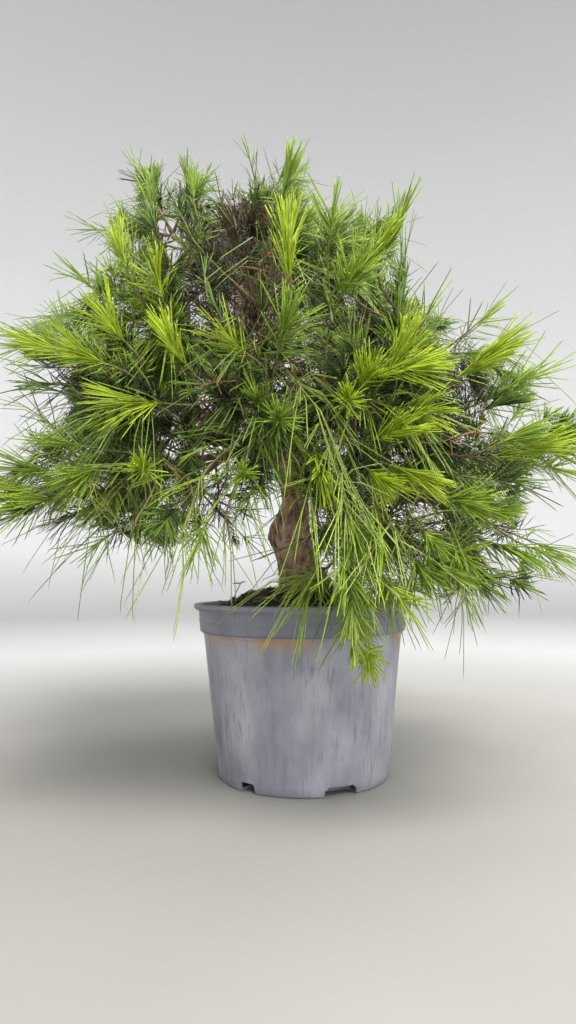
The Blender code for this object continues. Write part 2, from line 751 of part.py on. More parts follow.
def grow_shoot(space, rng, shoot, solid):
    """The shoot as a closed mesh, its core's faces drawn out to needles. Returns it and their rows."""
    bm = bmesh.new()
    rings, along = core_rings(shoot)
    loops = [add_ring(bm, points) for points in rings]
    wood = len(shoot["line"])
    bm.faces.new(reversed(loops[0]))
    for lower, upper in zip(loops[:wood - 1], loops[1:wood]):
        bridge(bm, lower, upper)
    bands = [bridge_twisted(bm, lower, upper) for lower, upper in zip(loops[wood - 1:], loops[wood:])]
    plans = []
    for band, lean in zip(bands, shoot["leans"]):
        for face in band:
            foot = np.array(face.calc_center_median())
            plans.append((face, foot, outward(foot, shoot["core"][1], along), lean))
    end_face = bm.faces.new(loops[-1])
    plans.append((end_face, np.array(end_face.calc_center_median()), across(along)[1], 0.0))
    needles = []
    for face, foot, out, lean in plans:
        length = shoot["needle"] * rng.uniform(*NEEDLE_LENGTHS)
        tip = plan_needle(space, rng, foot, along, out, lean, length, solid)
        if tip is not None:
            peak = bmesh.ops.poke(bm, faces=[face])["verts"][0]
            peak.co = tip
            needles.append((*foot, NEEDLE_FOOT_RADIUS, *tip, 0.0))
    return bm, needles


def islands_of(bm):
    """The mesh's separate pieces, each a set of faces, the largest first."""
    left = set(bm.faces)
    islands = []
    while left:
        found = {left.pop()}
        front = list(found)
        while front:
            face = front.pop()
            for edge in face.edges:
                for beside in edge.link_faces:
                    if beside in left:
                        left.discard(beside)
                        found.add(beside)
                        front.append(beside)
        islands.append(found)
    return sorted(islands, key=len, reverse=True)


def tidied(mesh):
    """Fills sealed hollows and drops loose scraps, then says whether the mesh is closed."""
    bm = bmesh.new()
    bm.from_mesh(mesh)
    for scrap in islands_of(bm)[1:]:
        bmesh.ops.delete(bm, geom=list(scrap), context="FACES")
    closed = all(edge.is_manifold for edge in bm.edges)
    bm.to_mesh(mesh)
    bm.free()
    return closed


def fused(whole, joined):
    """The union of a shoot with a collection of others, or None where neither solver closes it."""
    union = whole.modifiers.new("shoots", "BOOLEAN")
    union.operation = "UNION"
    union.operand_type = "COLLECTION"
    union.collection = joined
    for solver in ("EXACT", "MANIFOLD"):
        union.solver = solver
        graph = bpy.context.evaluated_depsgraph_get()
        mesh = bpy.data.meshes.new_from_object(whole.evaluated_get(graph))
        if tidied(mesh):
            whole.modifiers.clear()
            return mesh
    whole.modifiers.clear()
    return None


def join(name, shoots, material):
    """One solid from a mass's shoots, by a Boolean union on a collection."""
    first, *rest = shoots
    whole = add_object(name, first, material)
    joined = bpy.data.collections.new(name + "_shoots")
    bpy.context.scene.collection.children.link(joined)
    sides = []
    for bm in rest:
        side = add_object(name + "_shoot", bm, material)
        bpy.context.scene.collection.objects.unlink(side)
        joined.objects.link(side)
        sides.append(side)
    mesh = fused(whole, joined) if sides else whole.data
    while mesh is None and sides:
        bpy.data.objects.remove(sides.pop())
        mesh = fused(whole, joined) if sides else whole.data
    whole.data = mesh
    for side in sides:
        bpy.data.objects.remove(side)
    bpy.data.collections.remove(joined)


def near_rows(rows, space):
    """The rows of wood that lie close enough to a space to be met in it."""
    middles = (rows[:, 0:3] + rows[:, 4:7]) / 2
    return rows[np.linalg.norm(middles - space["centre"], axis=1) < NEIGHBOUR_RADII * space["radius"]]


def plan_shoots(space, rng, leader, fixed):
    """The leader and the side shoots that find room in tiers round it."""
    shoots = [leader]
    for share, lean, count in LATERAL_TIERS:
        first = rng.uniform(0.0, 360.0)
        for k in range(count):
            solid = np.vstack((fixed, *map(shoot_rows, shoots)))
            for attempt in range(LATERAL_TRIES):
                turn = first + 360.0 * k / count
                turn += attempt * rng.uniform(-LATERAL_TRY_TURN, LATERAL_TRY_TURN)
                tilt = lean + attempt * rng.uniform(-LATERAL_TRY_LEAN, LATERAL_TRY_LEAN)
                lateral = plan_lateral(space, leader, share, tilt, turn, solid)
                if lateral:
                    shoots.append(lateral)
                    break
    return shoots


def grow_mass(name, space, leaders, limbs, material):
    """A mass: its leader, its side shoots and their needles, as one solid."""
    rng = random.Random(name)
    beside = [shoot_rows(other) for key, other in leaders.items() if key != name]
    fixed = near_rows(np.vstack((limbs, *beside)), space)
    shoots = plan_shoots(space, rng, leaders[name], fixed)
    wood = [shoot_rows(shoot) for shoot in shoots]
    meshes = []
    needles = []
    for k, shoot in enumerate(shoots):
        others = [rows for n, rows in enumerate(wood) if n != k]
        solid = np.vstack((fixed, *others, *needles))
        bm, grown = grow_shoot(space, rng, shoot, solid)
        meshes.append(bm)
        if grown:
            needles.append(np.array(grown))
    join(name, meshes, material)


def main():
    clear_scene()
    plastic = make_material("pot_plastic", (0.170, 0.180, 0.200), 0.55)
    earth = make_material("potting_soil", (0.030, 0.022, 0.017), 0.95)
    bark = make_material("trunk_bark", (0.190, 0.125, 0.090), 0.90)
    twig_bark = make_material("bough_bark", (0.230, 0.135, 0.085), 0.85)
    green = make_material("pine_needles", (0.150, 0.300, 0.045), 0.50)

    make_pot(plastic)
    make_soil(earth)
    trunk_line = make_trunk(bark)
    trunk_rows = lengths_of(trunk_line)
    limbs = [trunk_rows]
    tips = {"trunk": trunk_line[-1][:3]}
    for name, height, bearing, elevation, length, bow, radius in BOUGHS:
        start = np.array([np.interp(height, trunk_line[:, 2], trunk_line[:, k]) for k in range(3)])
        line = cut_clear(bough_line(start, bearing, elevation, length, bow, radius), trunk_rows)
        make_bough(name, line, twig_bark)
        limbs.append(lengths_of(line))
        tips[name] = line[-1][:3]
    limbs = np.vstack(limbs)

    spaces = spaces_of(tips)
    leaders = {}
    started = np.empty((0, 8))
    for name, space in spaces.items():
        start = stem_foot(space, limbs, started)
        leaders[name] = plan_leader(space, start)
        started = np.vstack((started, shoot_rows(leaders[name])))
    for name, space in spaces.items():
        grow_mass(name, space, leaders, limbs, green)


main()
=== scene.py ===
"""Looks of the young Aleppo pine in its nursery pot, in metres with +Z up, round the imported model.

The side that is seen faces -Y. A bearing of 0 degrees points to +X (the right) and 90 to +Y
(the back). The limbs and the main shoots follow the solids' own rule, which is written again
here and carried on to finer twigs and needles.
"""

import json
import math
import random

import bmesh
import bpy
import numpy as np
from mathutils import Matrix, Vector, noise

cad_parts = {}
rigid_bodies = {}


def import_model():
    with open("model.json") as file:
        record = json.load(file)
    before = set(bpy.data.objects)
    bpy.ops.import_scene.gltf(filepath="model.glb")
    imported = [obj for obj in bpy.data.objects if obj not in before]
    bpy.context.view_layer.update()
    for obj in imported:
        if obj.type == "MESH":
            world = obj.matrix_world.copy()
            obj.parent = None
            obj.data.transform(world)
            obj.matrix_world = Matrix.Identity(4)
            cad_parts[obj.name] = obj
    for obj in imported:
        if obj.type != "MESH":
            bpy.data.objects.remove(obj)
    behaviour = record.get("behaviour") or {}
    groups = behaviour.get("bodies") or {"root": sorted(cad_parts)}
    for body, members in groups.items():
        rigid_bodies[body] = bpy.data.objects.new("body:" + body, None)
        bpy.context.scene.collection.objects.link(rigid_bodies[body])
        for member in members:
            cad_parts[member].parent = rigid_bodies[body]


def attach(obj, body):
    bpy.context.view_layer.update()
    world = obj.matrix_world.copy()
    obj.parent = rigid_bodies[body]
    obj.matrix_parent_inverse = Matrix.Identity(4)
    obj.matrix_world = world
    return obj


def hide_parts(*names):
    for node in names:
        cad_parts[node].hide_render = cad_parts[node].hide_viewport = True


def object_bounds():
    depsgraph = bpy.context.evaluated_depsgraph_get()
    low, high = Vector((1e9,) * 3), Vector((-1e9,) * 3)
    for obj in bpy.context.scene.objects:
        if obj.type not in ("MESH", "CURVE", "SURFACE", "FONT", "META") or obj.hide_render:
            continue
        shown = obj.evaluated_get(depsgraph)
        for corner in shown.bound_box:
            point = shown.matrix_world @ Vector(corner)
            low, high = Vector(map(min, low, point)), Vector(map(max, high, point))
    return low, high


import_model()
SOLID_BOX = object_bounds()

# Camera: at the photograph's viewing angle, with the frame and focus in which its pixels are told
CAMERA_PLACE = (-0.0108, -0.5285, 0.1491)
CAMERA_PITCH = 5.71
CAMERA_ROLL = -0.38
CAMERA_LENS = 23.2
PHOTO_WIDTH = 576
PHOTO_HEIGHT = 1024
PHOTO_FOCUS = 660.0

# Trunk: its centre line as (x, y, z) with the radius there, from the soil to the tip
TRUNK_LINE = (
    (0.002, 0.000, 0.1400, 0.0205),
    (-0.004, 0.000, 0.1630, 0.0158),
    (-0.008, 0.000, 0.1870, 0.0146),
    (-0.005, 0.000, 0.2120, 0.0108),
    (-0.011, 0.000, 0.2400, 0.0112),
    (-0.023, 0.000, 0.2820, 0.0096),
    (-0.040, 0.005, 0.3300, 0.0078),
    (-0.050, 0.010, 0.3750, 0.0060),
    (-0.047, 0.010, 0.4100, 0.0043),
    (-0.037, 0.008, 0.4390, 0.0024),
)
TRUNK_RINGS = 28
FLARE_HEIGHT = 0.016
FLARE_LOBES = 5
FLARE_DEPTH = 0.16
FLARE_TURN = 0.6
KNOB_BEARING = 186.0
KNOB_HEIGHT = 0.184
KNOB_REACH = 0.0048
KNOB_HALF_HEIGHT = 0.0075
KNOB_HALF_ANGLE = 24.0
TRUNK_BARK_RINGS = 150
TRUNK_BARK_SIDES = 56
BARK_PLATE = 0.07
BARK_CRACK = 0.09

# Boughs: name, height where it leaves the trunk, bearing, elevation, length, upward bow, base radius
BOUGHS = (
    ("bough_crown_left", 0.392, 183, 39, 0.075, 0.05, 0.0030),
    ("bough_upper_right", 0.383, 4, 23, 0.082, 0.06, 0.0032),
    ("bough_upper_front", 0.348, 287, 12, 0.048, 0.04, 0.0030),
    ("bough_left_shoulder", 0.318, 220, 10, 0.078, 0.08, 0.0034),
    ("bough_left_high", 0.300, 178, 8, 0.111, 0.08, 0.0036),
    ("bough_left_low", 0.250, 187, -11, 0.122, 0.06, 0.0038),
    ("bough_left_front", 0.272, 227, -8, 0.100, 0.08, 0.0036),
    ("bough_centre_front", 0.290, 269, -12, 0.088, 0.08, 0.0034),
    ("bough_right_front", 0.268, 307, 0, 0.106, 0.08, 0.0037),
    ("bough_hanging", 0.226, 300, -17, 0.087, 0.10, 0.0034),
    ("bough_right_shoulder", 0.328, 358, 2, 0.127, 0.08, 0.0037),
    ("bough_right_reach", 0.280, 352, -12, 0.149, 0.06, 0.0040),
    ("bough_right_low", 0.246, 347, -19, 0.135, 0.10, 0.0047),
    ("bough_back_left", 0.335, 131, 2, 0.090, 0.08, 0.0034),
    ("bough_back_left_low", 0.262, 136, -13, 0.115, 0.08, 0.0037),
    ("bough_back_right", 0.315, 41, 4, 0.120, 0.08, 0.0036),
    ("bough_back_right_low", 0.256, 43, -9, 0.132, 0.08, 0.0040),
)
BOUGH_TIP_RADIUS = 0.0018
BOUGH_SIDES = 6
BOUGH_RINGS = 6
LEAVING_STEP = 0.002
BOUGH_BARK_RINGS = 44
BOUGH_BARK_SIDES = 16
BOUGH_SINK = 0.5
BOUGH_SWELL = 0.55
BOUGH_SWELL_LENGTH = 0.006

# Foliage masses: name, the limb whose tip bears it, bearing, elevation, reach from that tip
MASSES = (
    ("needles_crown_right", "trunk", 346, 66, 0.080),
    ("needles_back_top", "trunk", 96, 18, 0.102),
    ("needles_crown_left", "bough_crown_left", 186, 68, 0.077),
    ("needles_crown_middle", "bough_crown_left", 342, 68, 0.070),
    ("needles_upper_left", "bough_crown_left", 157, 22, 0.088),
    ("needles_upper_right", "bough_upper_right", 340, 28, 0.090),
    ("needles_upper_right_back", "bough_upper_right", 67, 31, 0.107),
    ("needles_upper_front", "bough_upper_front", 240, 8, 0.098),
    ("needles_upper_right_front", "bough_upper_front", 318, 20, 0.110),
    ("needles_left_shoulder", "bough_left_shoulder", 212, 29, 0.084),
    ("needles_left_shoulder_front", "bough_left_shoulder", 275, -19, 0.106),
    ("needles_left_tip_high", "bough_left_high", 200, 17, 0.108),
    ("needles_left_back", "bough_left_high", 133, 4, 0.110),
    ("needles_left_low", "bough_left_low", 188, 14, 0.112),
    ("needles_left_under", "bough_left_low", 252, -61, 0.088),
    ("needles_left_front", "bough_left_front", 216, 3, 0.088),
    ("needles_left_low_front", "bough_left_front", 269, -31, 0.108),
    ("needles_centre_left_front", "bough_centre_front", 257, 22, 0.080),
    ("needles_centre_front_low", "bough_centre_front", 272, -27, 0.118),
    ("needles_right_front_high", "bough_right_front", 292, 22, 0.080),
    ("needles_right_front_star", "bough_right_front", 256, -15, 0.128),
    ("needles_right_front_low", "bough_right_front", 314, -41, 0.092),
    ("needles_centre_right_hang", "bough_hanging", 253, -1, 0.097),
    ("needles_pot_hanging", "bough_hanging", 270, -68, 0.115),
    ("needles_right_shoulder", "bough_right_shoulder", 165, 64, 0.096),
    ("needles_right_tip_high", "bough_right_shoulder", 341, -6, 0.116),
    ("needles_right_tip", "bough_right_reach", 339, 2, 0.112),
    ("needles_right_middle", "bough_right_reach", 34, -5, 0.120),
    ("needles_right_low_tip", "bough_right_low", 349, -25, 0.118),
    ("needles_right_under_front", "bough_right_low", 263, -51, 0.092),
    ("needles_right_under_back", "bough_right_low", 61, -32, 0.118),
    ("needles_back_left_high", "bough_back_left", 131, 36, 0.113),
    ("needles_back_left_middle", "bough_back_left", 93, -11, 0.115),
    ("needles_back_left_low", "bough_back_left_low", 154, -6, 0.112),
    ("needles_back_low", "bough_back_left_low", 74, -19, 0.110),
    ("needles_back_right_high", "bough_back_right", 52, 34, 0.111),
    ("needles_back_centre", "bough_back_right", 113, 8, 0.123),
    ("needles_back_right_middle", "bough_back_right_low", 30, 20, 0.116),
    ("needles_back_right_low", "bough_back_right_low", 84, -23, 0.110),
)

# Outline of the crown: a rounded form that leans to the left above its widest level
CROWN_CENTRE = (-0.004, -0.004, 0.270)
CROWN_HALF_WIDTH = 0.248
CROWN_HALF_DEPTH = 0.218
CROWN_RISE = 0.270
CROWN_DROP = 0.195
CROWN_LEAN = -0.28
CROWN_TOP_POWER = 1.5
CROWN_FOOT_POWER = 2.6
CROWN_TOP = 0.511

# The rule by which a mass divides its space into a leader and side shoots, as in the solids
SPACE_RADIUS_SHARE = 0.80
SPACE_MARGIN = 0.0005
LEAST_REACH = 0.022
REACH_STEP = 0.98
STEM_KNEE = 0.005
STEM_SEARCH = (0.001, 0.012, 0.0001)
LEADER_STEM_SHARE = 0.34
LATERAL_STEM_SHARE = 0.26
LEADER_CORE = 0.015
LATERAL_CORE = 0.010
LATERAL_MOST_SHARE = 0.86
LATERAL_TIERS = ((0.30, 84.0, 3), (0.85, 52.0, 2))
LATERAL_BEND = 9.0
LATERAL_KNEE_SHARE = 0.55
LATERAL_SINK = 2.6
STEM_FOOT_RADIUS = 0.0008
STEM_RADIUS = 0.0019
TWIG_FOOT_RADIUS = 0.0005
TWIG_RADIUS = 0.0011
CORE_RADIUS = 0.0014
LIMB_GAP = 0.0003
LATERAL_TRIES = 8
LATERAL_TRY_TURN = 12.0
LATERAL_TRY_LEAN = 5.0
NEIGHBOUR_RADII = 2.5
PARALLEL = 1e-16
UPRIGHT = 0.9

# Columns of the tables that hold lengths of limb, and of those that hold needles
START, START_RADIUS, END, END_RADIUS = slice(0, 3), 3, slice(4, 7), 7
FOOT, WAY, BEND, LENGTH, RADIUS = slice(0, 3), slice(3, 6), slice(6, 9), 9, 10
POT_CLEAR_RADIUS = 0.088
SOIL_CLEAR_HEIGHT = 0.1457

# Pot and soil, as in the solids
POT_HEIGHT = 0.130
POT_LIP_RADIUS = 0.085
POT_GAP = 0.002
POT_WALL = ((0.0653, 0.0014), (0.0770, 0.1065))
POT_WALL_STEPS = 20
POT_SIDES = 160
POT_WAVE = 0.0060
POT_WAVE_START = 0.02
POT_SHARP = 38
SOIL_EDGE_HEIGHT = 0.1245
SOIL_SEAT_HEIGHT = 0.1397
SOIL_SEAT_RADIUS = 0.029
SOIL_EDGE_RADIUS = 0.0784
SOIL_RELIEF = 0.0016
SOIL_WAVES = (210.0, 90.0, 160.0, -70.0)
SOIL_GAP = 0.001
SOIL_FADE = 0.004
SOIL_WALL_GAP = 0.0002
SOIL_RINGS = 64
SOIL_SIDES = 180
SOIL_BODY = ((0.0755, 0.104), (0.0640, 0.014), (0.0500, 0.0026))

# Notches and slits in the pot's foot: bearings, then widths, then height and depth
POT_NOTCHES = 6
POT_NOTCH_TURN = 292.0
POT_NOTCH_WIDTHS = (0.027, 0.014)
POT_NOTCH = (0.007, 0.013)
POT_SLITS = (262.0, 267.0, 272.0, 277.0, 88.0, 94.0)
POT_SLIT = (0.0007, 0.0013, 0.003)
CUT_RADIUS = 0.0652
CUT_OUT = 0.0016
CUT_TAPER = 0.86
CUT_BEVEL = 0.06

# Needle tints as plain base colours, from the brightest young tips to dead needles, with lit as painted
# light and deep as painted shade
TINTS = {
    "lit": (0.330, 0.430, 0.022),
    "fresh": (0.216, 0.322, 0.026),
    "leaf": (0.128, 0.204, 0.032),
    "deep": (0.026, 0.045, 0.016),
    "olive": (0.182, 0.236, 0.040),
    "pale": (0.300, 0.400, 0.085),
    "dry": (0.250, 0.112, 0.060),
    "brown": (0.105, 0.062, 0.038),
}
# The darker tint that each tint takes for its needles in painted shade
SHADED_TINTS = {
    "lit": "fresh", "fresh": "leaf", "leaf": "deep", "deep": "deep", "olive": "deep", "pale": "leaf",
    "dry": "dry", "brown": "brown",
}
NEEDLE_GLOSS = 0.28

# How a shoot carries its needles: those of its tip, on no more than a zone of the twig, then
# those along its sides, of which long needles have none
KINDS = {
    "fan": {
        "tips": 54, "tip": (0.021, 0.029), "tip_leans": (4, 48), "tip_share": 0.50, "zone": 0.012,
        "step": 0.0009, "side": (0.014, 0.024), "side_leans": (34, 68), "bare": 0.16, "droop": 0.06,
    },
    "flame": {
        "tips": 66, "tip": (0.019, 0.027), "tip_leans": (3, 30), "tip_share": 0.60, "zone": 0.017,
        "step": 0.0009, "side": (0.012, 0.020), "side_leans": (30, 60), "bare": 0.16, "droop": 0.04,
    },
    "star": {
        "tips": 60, "tip": (0.011, 0.020), "tip_leans": (4, 92), "tip_share": 0.40, "zone": 0.008,
        "step": 0.0009, "side": (0.012, 0.022), "side_leans": (40, 74), "bare": 0.15, "droop": 0.03,
    },
    "brush": {
        "tips": 28, "tip": (0.011, 0.020), "tip_leans": (4, 52), "tip_share": 0.40, "zone": 0.010,
        "step": 0.0007, "side": (0.012, 0.021), "side_leans": (36, 68), "bare": 0.08, "droop": 0.05,
    },
    "long": {
        "tips": 32, "tip": (0.034, 0.066), "tip_leans": (12, 92), "tip_share": 0.80, "zone": 1.0,
        "droop": 0.60,
    },
    "dry": {
        "tips": 24, "tip": (0.008, 0.019), "tip_leans": (15, 110), "tip_share": 0.50, "zone": 0.020,
        "step": 0.0040, "side": (0.008, 0.018), "side_leans": (50, 100), "bare": 0.30, "droop": 0.15,
    },
}
GOLDEN_TURN = 137.5
GOLDEN_SHARE = 0.618
LEAST_TIPS = 6
TIP_CROWDING = 1.3
TIP_LEAN_SPREAD = 0.16
TIP_SHORTENING = 0.16
SIDE_END = 0.97
SHADED_SHARE = 0.28
BUNDLED_KINDS = ("fan", "flame")
BUNDLES = 6
BUNDLE_SPREAD = (4.5, 13.0)
NEEDLE_RADIUS = 0.00040
SEEN_NEEDLE_RADIUS = 0.00043
NEEDLE_BEND = 0.025
NEEDLE_TURNS = (-22, 22)
NEEDLE_CURL = (-0.03, 0.11)
NEEDLE_SAG = (0.4, 1.3)
FAN_BEND = 0.045
FINE_NEEDLE_RADIUS = 0.00038
LONG_NEEDLE_RADIUS = 0.00036
LONG_BEND = 0.125
LONG_NEEDLE = 0.026
TWIN_SPREAD = 0.07
TWIN_LENGTHS = (0.9, 1.05)

# How far out of the crown needles may reach, and how they are kept inside the solids' box
SLACK = 1.10
LONG_SLACK = 1.22
PROUD = 0.0065
NEEDLE_CHECKS = (0.35, 0.7, 1.0)
REIN_MARGIN = 0.01
REIN_MOST = 0.97
REIN_LEAST = 0.01

# Each form of needle: the shares of its length that have a ring, and the ring's width
NEEDLE_FORMS = {
    "long": ((0.0, 0.42, 0.90, 1.0), (1.0, 0.95, 0.75, 0.0)),
    "short": ((0.0, 0.84, 1.0), (1.0, 0.80, 0.0)),
    "fine": ((0.0, 0.50, 1.0), (0.0, 1.0, 0.0)),
}
TRIANGLES_A_PIECE = 190000

# How the solids' shoots are carried on. A twig's wood is its radius at foot and tip and its sides
TWIG_ON_SHARE = 0.36
TWIG_ROUGHNESS = (0.88, 1.14)
MAIN_TWIG_STEPS = 24
MAIN_TWIG_POINTS = 8
MAIN_TWIG_LIFTS = (-0.02, 0.16)
SIDE_TWIG_STEPS = 12
SIDE_TWIG_POINTS = 5
SIDE_TWIG_RISES = (0.0, 0.30)
SIDE_TWIG_OUT = 0.8
SIDE_TWIG_ALONG = 0.35
SIDE_TWIG_LEVEL = 1.02
SIDE_LENGTHS = (0.30, 0.50)
SIDE_LEANS = (34, 62)
SIDE_SCALES = (0.60, 0.95)
SEEN_TWIG = (0.0009, 0.0004, 5)
LEADER_TWIG = (0.0013, 0.0004, 6)
LATERAL_TWIG = (0.0008, 0.0004, 6)
SIDE_TWIG = (0.0006, 0.00035, 4)
SPRAY_TWIG = (0.0011, 0.0006, 4)
LEADER_SIDES = 7
LATERAL_SIDES = 4
SIDE_KINDS = ("fan", "fan", "fan", "brush", "brush", "star")
# Tints by place in the crown, painted light and shade: brighter outwards and upwards, painted shade above
# TINT_SHADE_HEIGHT, painted light from below under TINT_UNDER_HEIGHT
TINT_CHANCE = 0.22
TINT_RISE = 0.9
TINT_SHADE_HEIGHT = 0.40
TINT_SHADE = 3.6
TINT_UNDER_HEIGHT = 0.27
TINT_UNDER = 4.5
TINT_UNDER_MOST = 0.95
TINT_LIMITS = ((0.98, "lit"), (0.66, "fresh"), (0.36, "leaf"))
LONG_BELOW = 0.26
LONG_ABOVE = 0.40
LONG_CHANCES = (0.80, 0.85, 0.30)
LONG_SHARES = (0.55, 1.00, 0.60)
LONG_SIDE_CHANCE = 0.25
LONG_SIDE_SCALE = 0.80
LONG_SIDE_SHARE = 0.25
LONG_TINTS = ("olive", "leaf", "fresh", "pale")
LONG_SCALES = (0.80, 1.10)
MOST_SCALE = 1.30
# Between these crown levels side needles take the deep tint as painted shade; inside them they turn brown
INNER_LEVEL = 0.30
OUTER_LEVEL = 0.60
UNDER_FOOT = 0.170
UNDER_FOOT_RIGHT = 0.128
UNDER_FOOT_SPAN = (-0.02, 0.05)
UNDER_HEIGHT = 0.215
UNDER_SKIP = 0.35

# Dark and dead sprays along the bare limbs, the dark ones in painted shade: their spacing, with the least
# and the most reach
TRUNK_SPRAYS = (0.0025, (0.028, 0.062))
TRUNK_SPRAY_HEIGHT = 0.285
BOUGH_SPRAYS = (0.009, (0.022, 0.048))
SPRAY_LEANS = (42, 84)
SPRAY_LEVEL = 0.95
SPRAY_SCALES = (0.8, 1.1)
# In SPRAY_TINTS deep is painted shade inside the crown and brown stands for dead needles
SPRAY_TINTS = ("leaf", "deep", "deep", "brown")
DRY_CHANCE = 0.20

# Single long needles that stand out of the crown
STRAY_LEVEL = 0.45
STRAY_COUNTS = (1, 4)
STRAY_PLACES = (0.6, 1.0)
STRAY_LEANS = (4, 42)
STRAY_LENGTHS = (0.040, 0.070)
STRAY_DROOP = 0.16
STRAY_SLACK = 1.32

# How the shoots that stand out in the photograph are placed and carried
SEEN_SEARCH = (0.2, 0.8, 0.002)
SEEN_SEED = 900
SEEN_KNEE_BACK = 0.016
SEEN_KNEE_IN = 0.010
SEEN_TIP = 0.008
SEEN_CLEARING_RUN = 0.09
BEARER_BACK = 0.020
BEARER_DISTANCE = 0.022
SEEN_CLEARING = 0.013
SEEN_MARGIN = (0.012, 0.029, 0.012)
SEEN_ROUND = 0.040
SEEN_STAGGER = 0.014
SEEN_SLACK = 1.35
SEEN_SHARE = 1.35
SEEN_LONG_SHARE = 0.55
SEEN_SCALE = 0.90

# Where the photograph shows sky or trunk through the needles: column, row, half width and half
# height of the place, the share of needles left out there, and the depth up to which they are
OPENINGS = (
    (166, 226, 9, 9, 0.95, 1.0),
    (172, 252, 8, 12, 0.85, 1.0),
    (215, 456, 12, 10, 0.95, 1.0),
    (206, 400, 7, 10, 0.95, 1.0),
    (172, 452, 8, 8, 0.90, 1.0),
    (232, 166, 26, 38, 0.85, 1.0),
    (128, 148, 38, 18, 0.95, 1.0),
    (118, 116, 34, 24, 0.98, 1.0),
    (120, 160, 12, 28, 0.90, 1.0),
    (168, 154, 10, 20, 0.80, 1.0),
    (204, 154, 16, 16, 0.75, 1.0),
    (170, 184, 12, 16, 0.70, 1.0),
    (118, 182, 16, 22, 0.80, 1.0),
    (96, 208, 20, 14, 0.90, 1.0),
    (104, 252, 13, 12, 0.60, 1.0),
    (268, 154, 18, 16, 0.90, 1.0),
    (276, 178, 9, 12, 0.60, 1.0),
    (342, 164, 36, 30, 0.75, 1.0),
    (392, 174, 26, 14, 0.80, 1.0),
    (380, 206, 16, 14, 0.80, 1.0),
    (427, 240, 20, 60, 0.88, 1.0),
    (66, 222, 40, 38, 0.80, 1.0),
    (50, 276, 44, 22, 0.78, 1.0),
    (28, 302, 32, 14, 0.75, 1.0),
    (22, 376, 30, 16, 0.85, 1.0),
    (32, 408, 36, 22, 0.86, 1.0),
    (10, 440, 20, 14, 0.85, 1.0),
    (214, 500, 18, 14, 0.60, 1.0),
    (204, 576, 20, 20, 0.75, 1.0),
    (455, 262, 30, 36, 0.80, 1.0),
    (486, 302, 52, 20, 0.90, 1.0),
    (492, 324, 20, 12, 0.85, 1.0),
    (516, 420, 17, 13, 0.90, 1.0),
    (462, 342, 20, 12, 0.75, 1.0),
    (556, 350, 26, 22, 0.80, 1.0),
    (562, 386, 24, 18, 0.88, 1.0),
    (497, 416, 30, 11, 0.85, 1.0),
    (256, 535, 15, 36, 0.80, 1.0),
    (292, 535, 20, 44, 0.85, -0.012),
    (418, 520, 28, 17, 0.80, 1.0),
    (330, 572, 8, 14, 0.60, 1.0),
    (238, 290, 44, 58, 0.55, -0.03),
    (556, 520, 26, 26, 0.90, 1.0),
    (566, 470, 14, 12, 0.75, 1.0),
    (540, 490, 18, 11, 0.80, 1.0),
    (540, 538, 28, 16, 0.92, 1.0),
    (500, 562, 24, 10, 0.80, 1.0),
    (420, 614, 16, 14, 0.85, 1.0),
    (554, 596, 16, 14, 0.75, 1.0),
    (466, 608, 20, 16, 0.80, 1.0),
    (406, 640, 20, 26, 0.75, 1.0),
    (80, 548, 56, 18, 0.88, 1.0),
    (10, 524, 20, 12, 0.75, 1.0),
    (84, 530, 14, 10, 0.60, 1.0),
    (226, 512, 22, 14, 0.60, 1.0),
    (190, 560, 30, 12, 0.70, 1.0),
    (130, 562, 56, 14, 0.75, 1.0),
    (435, 628, 36, 26, 0.85, 1.0),
    (505, 614, 50, 12, 0.75, 1.0),
)

# Dark hollows of the photograph, where old brown wood and dead needles show: column, row, half
# width and half height of the place, and the depth beyond which they lie
# Half the needles in these hollows take the deep tint as painted shade; the rest turn brown for dead
# needles
HOLLOWS = (
    (246, 214, 28, 15, -0.200),
    (238, 285, 54, 70, -0.130),
    (284, 372, 24, 20, -0.150),
    (190, 428, 60, 36, -0.120),
    (425, 448, 38, 58, -0.110),
    (300, 440, 36, 44, -0.090),
    (70, 395, 44, 20, -0.090),
    (330, 325, 50, 36, -0.070),
    (455, 385, 32, 22, -0.110),
)
HOLLOW_END = 0.030
HOLLOW_LEVEL = 0.62
HOLLOW_SKIN = 0.90
HOLLOW_CHECK = 0.6

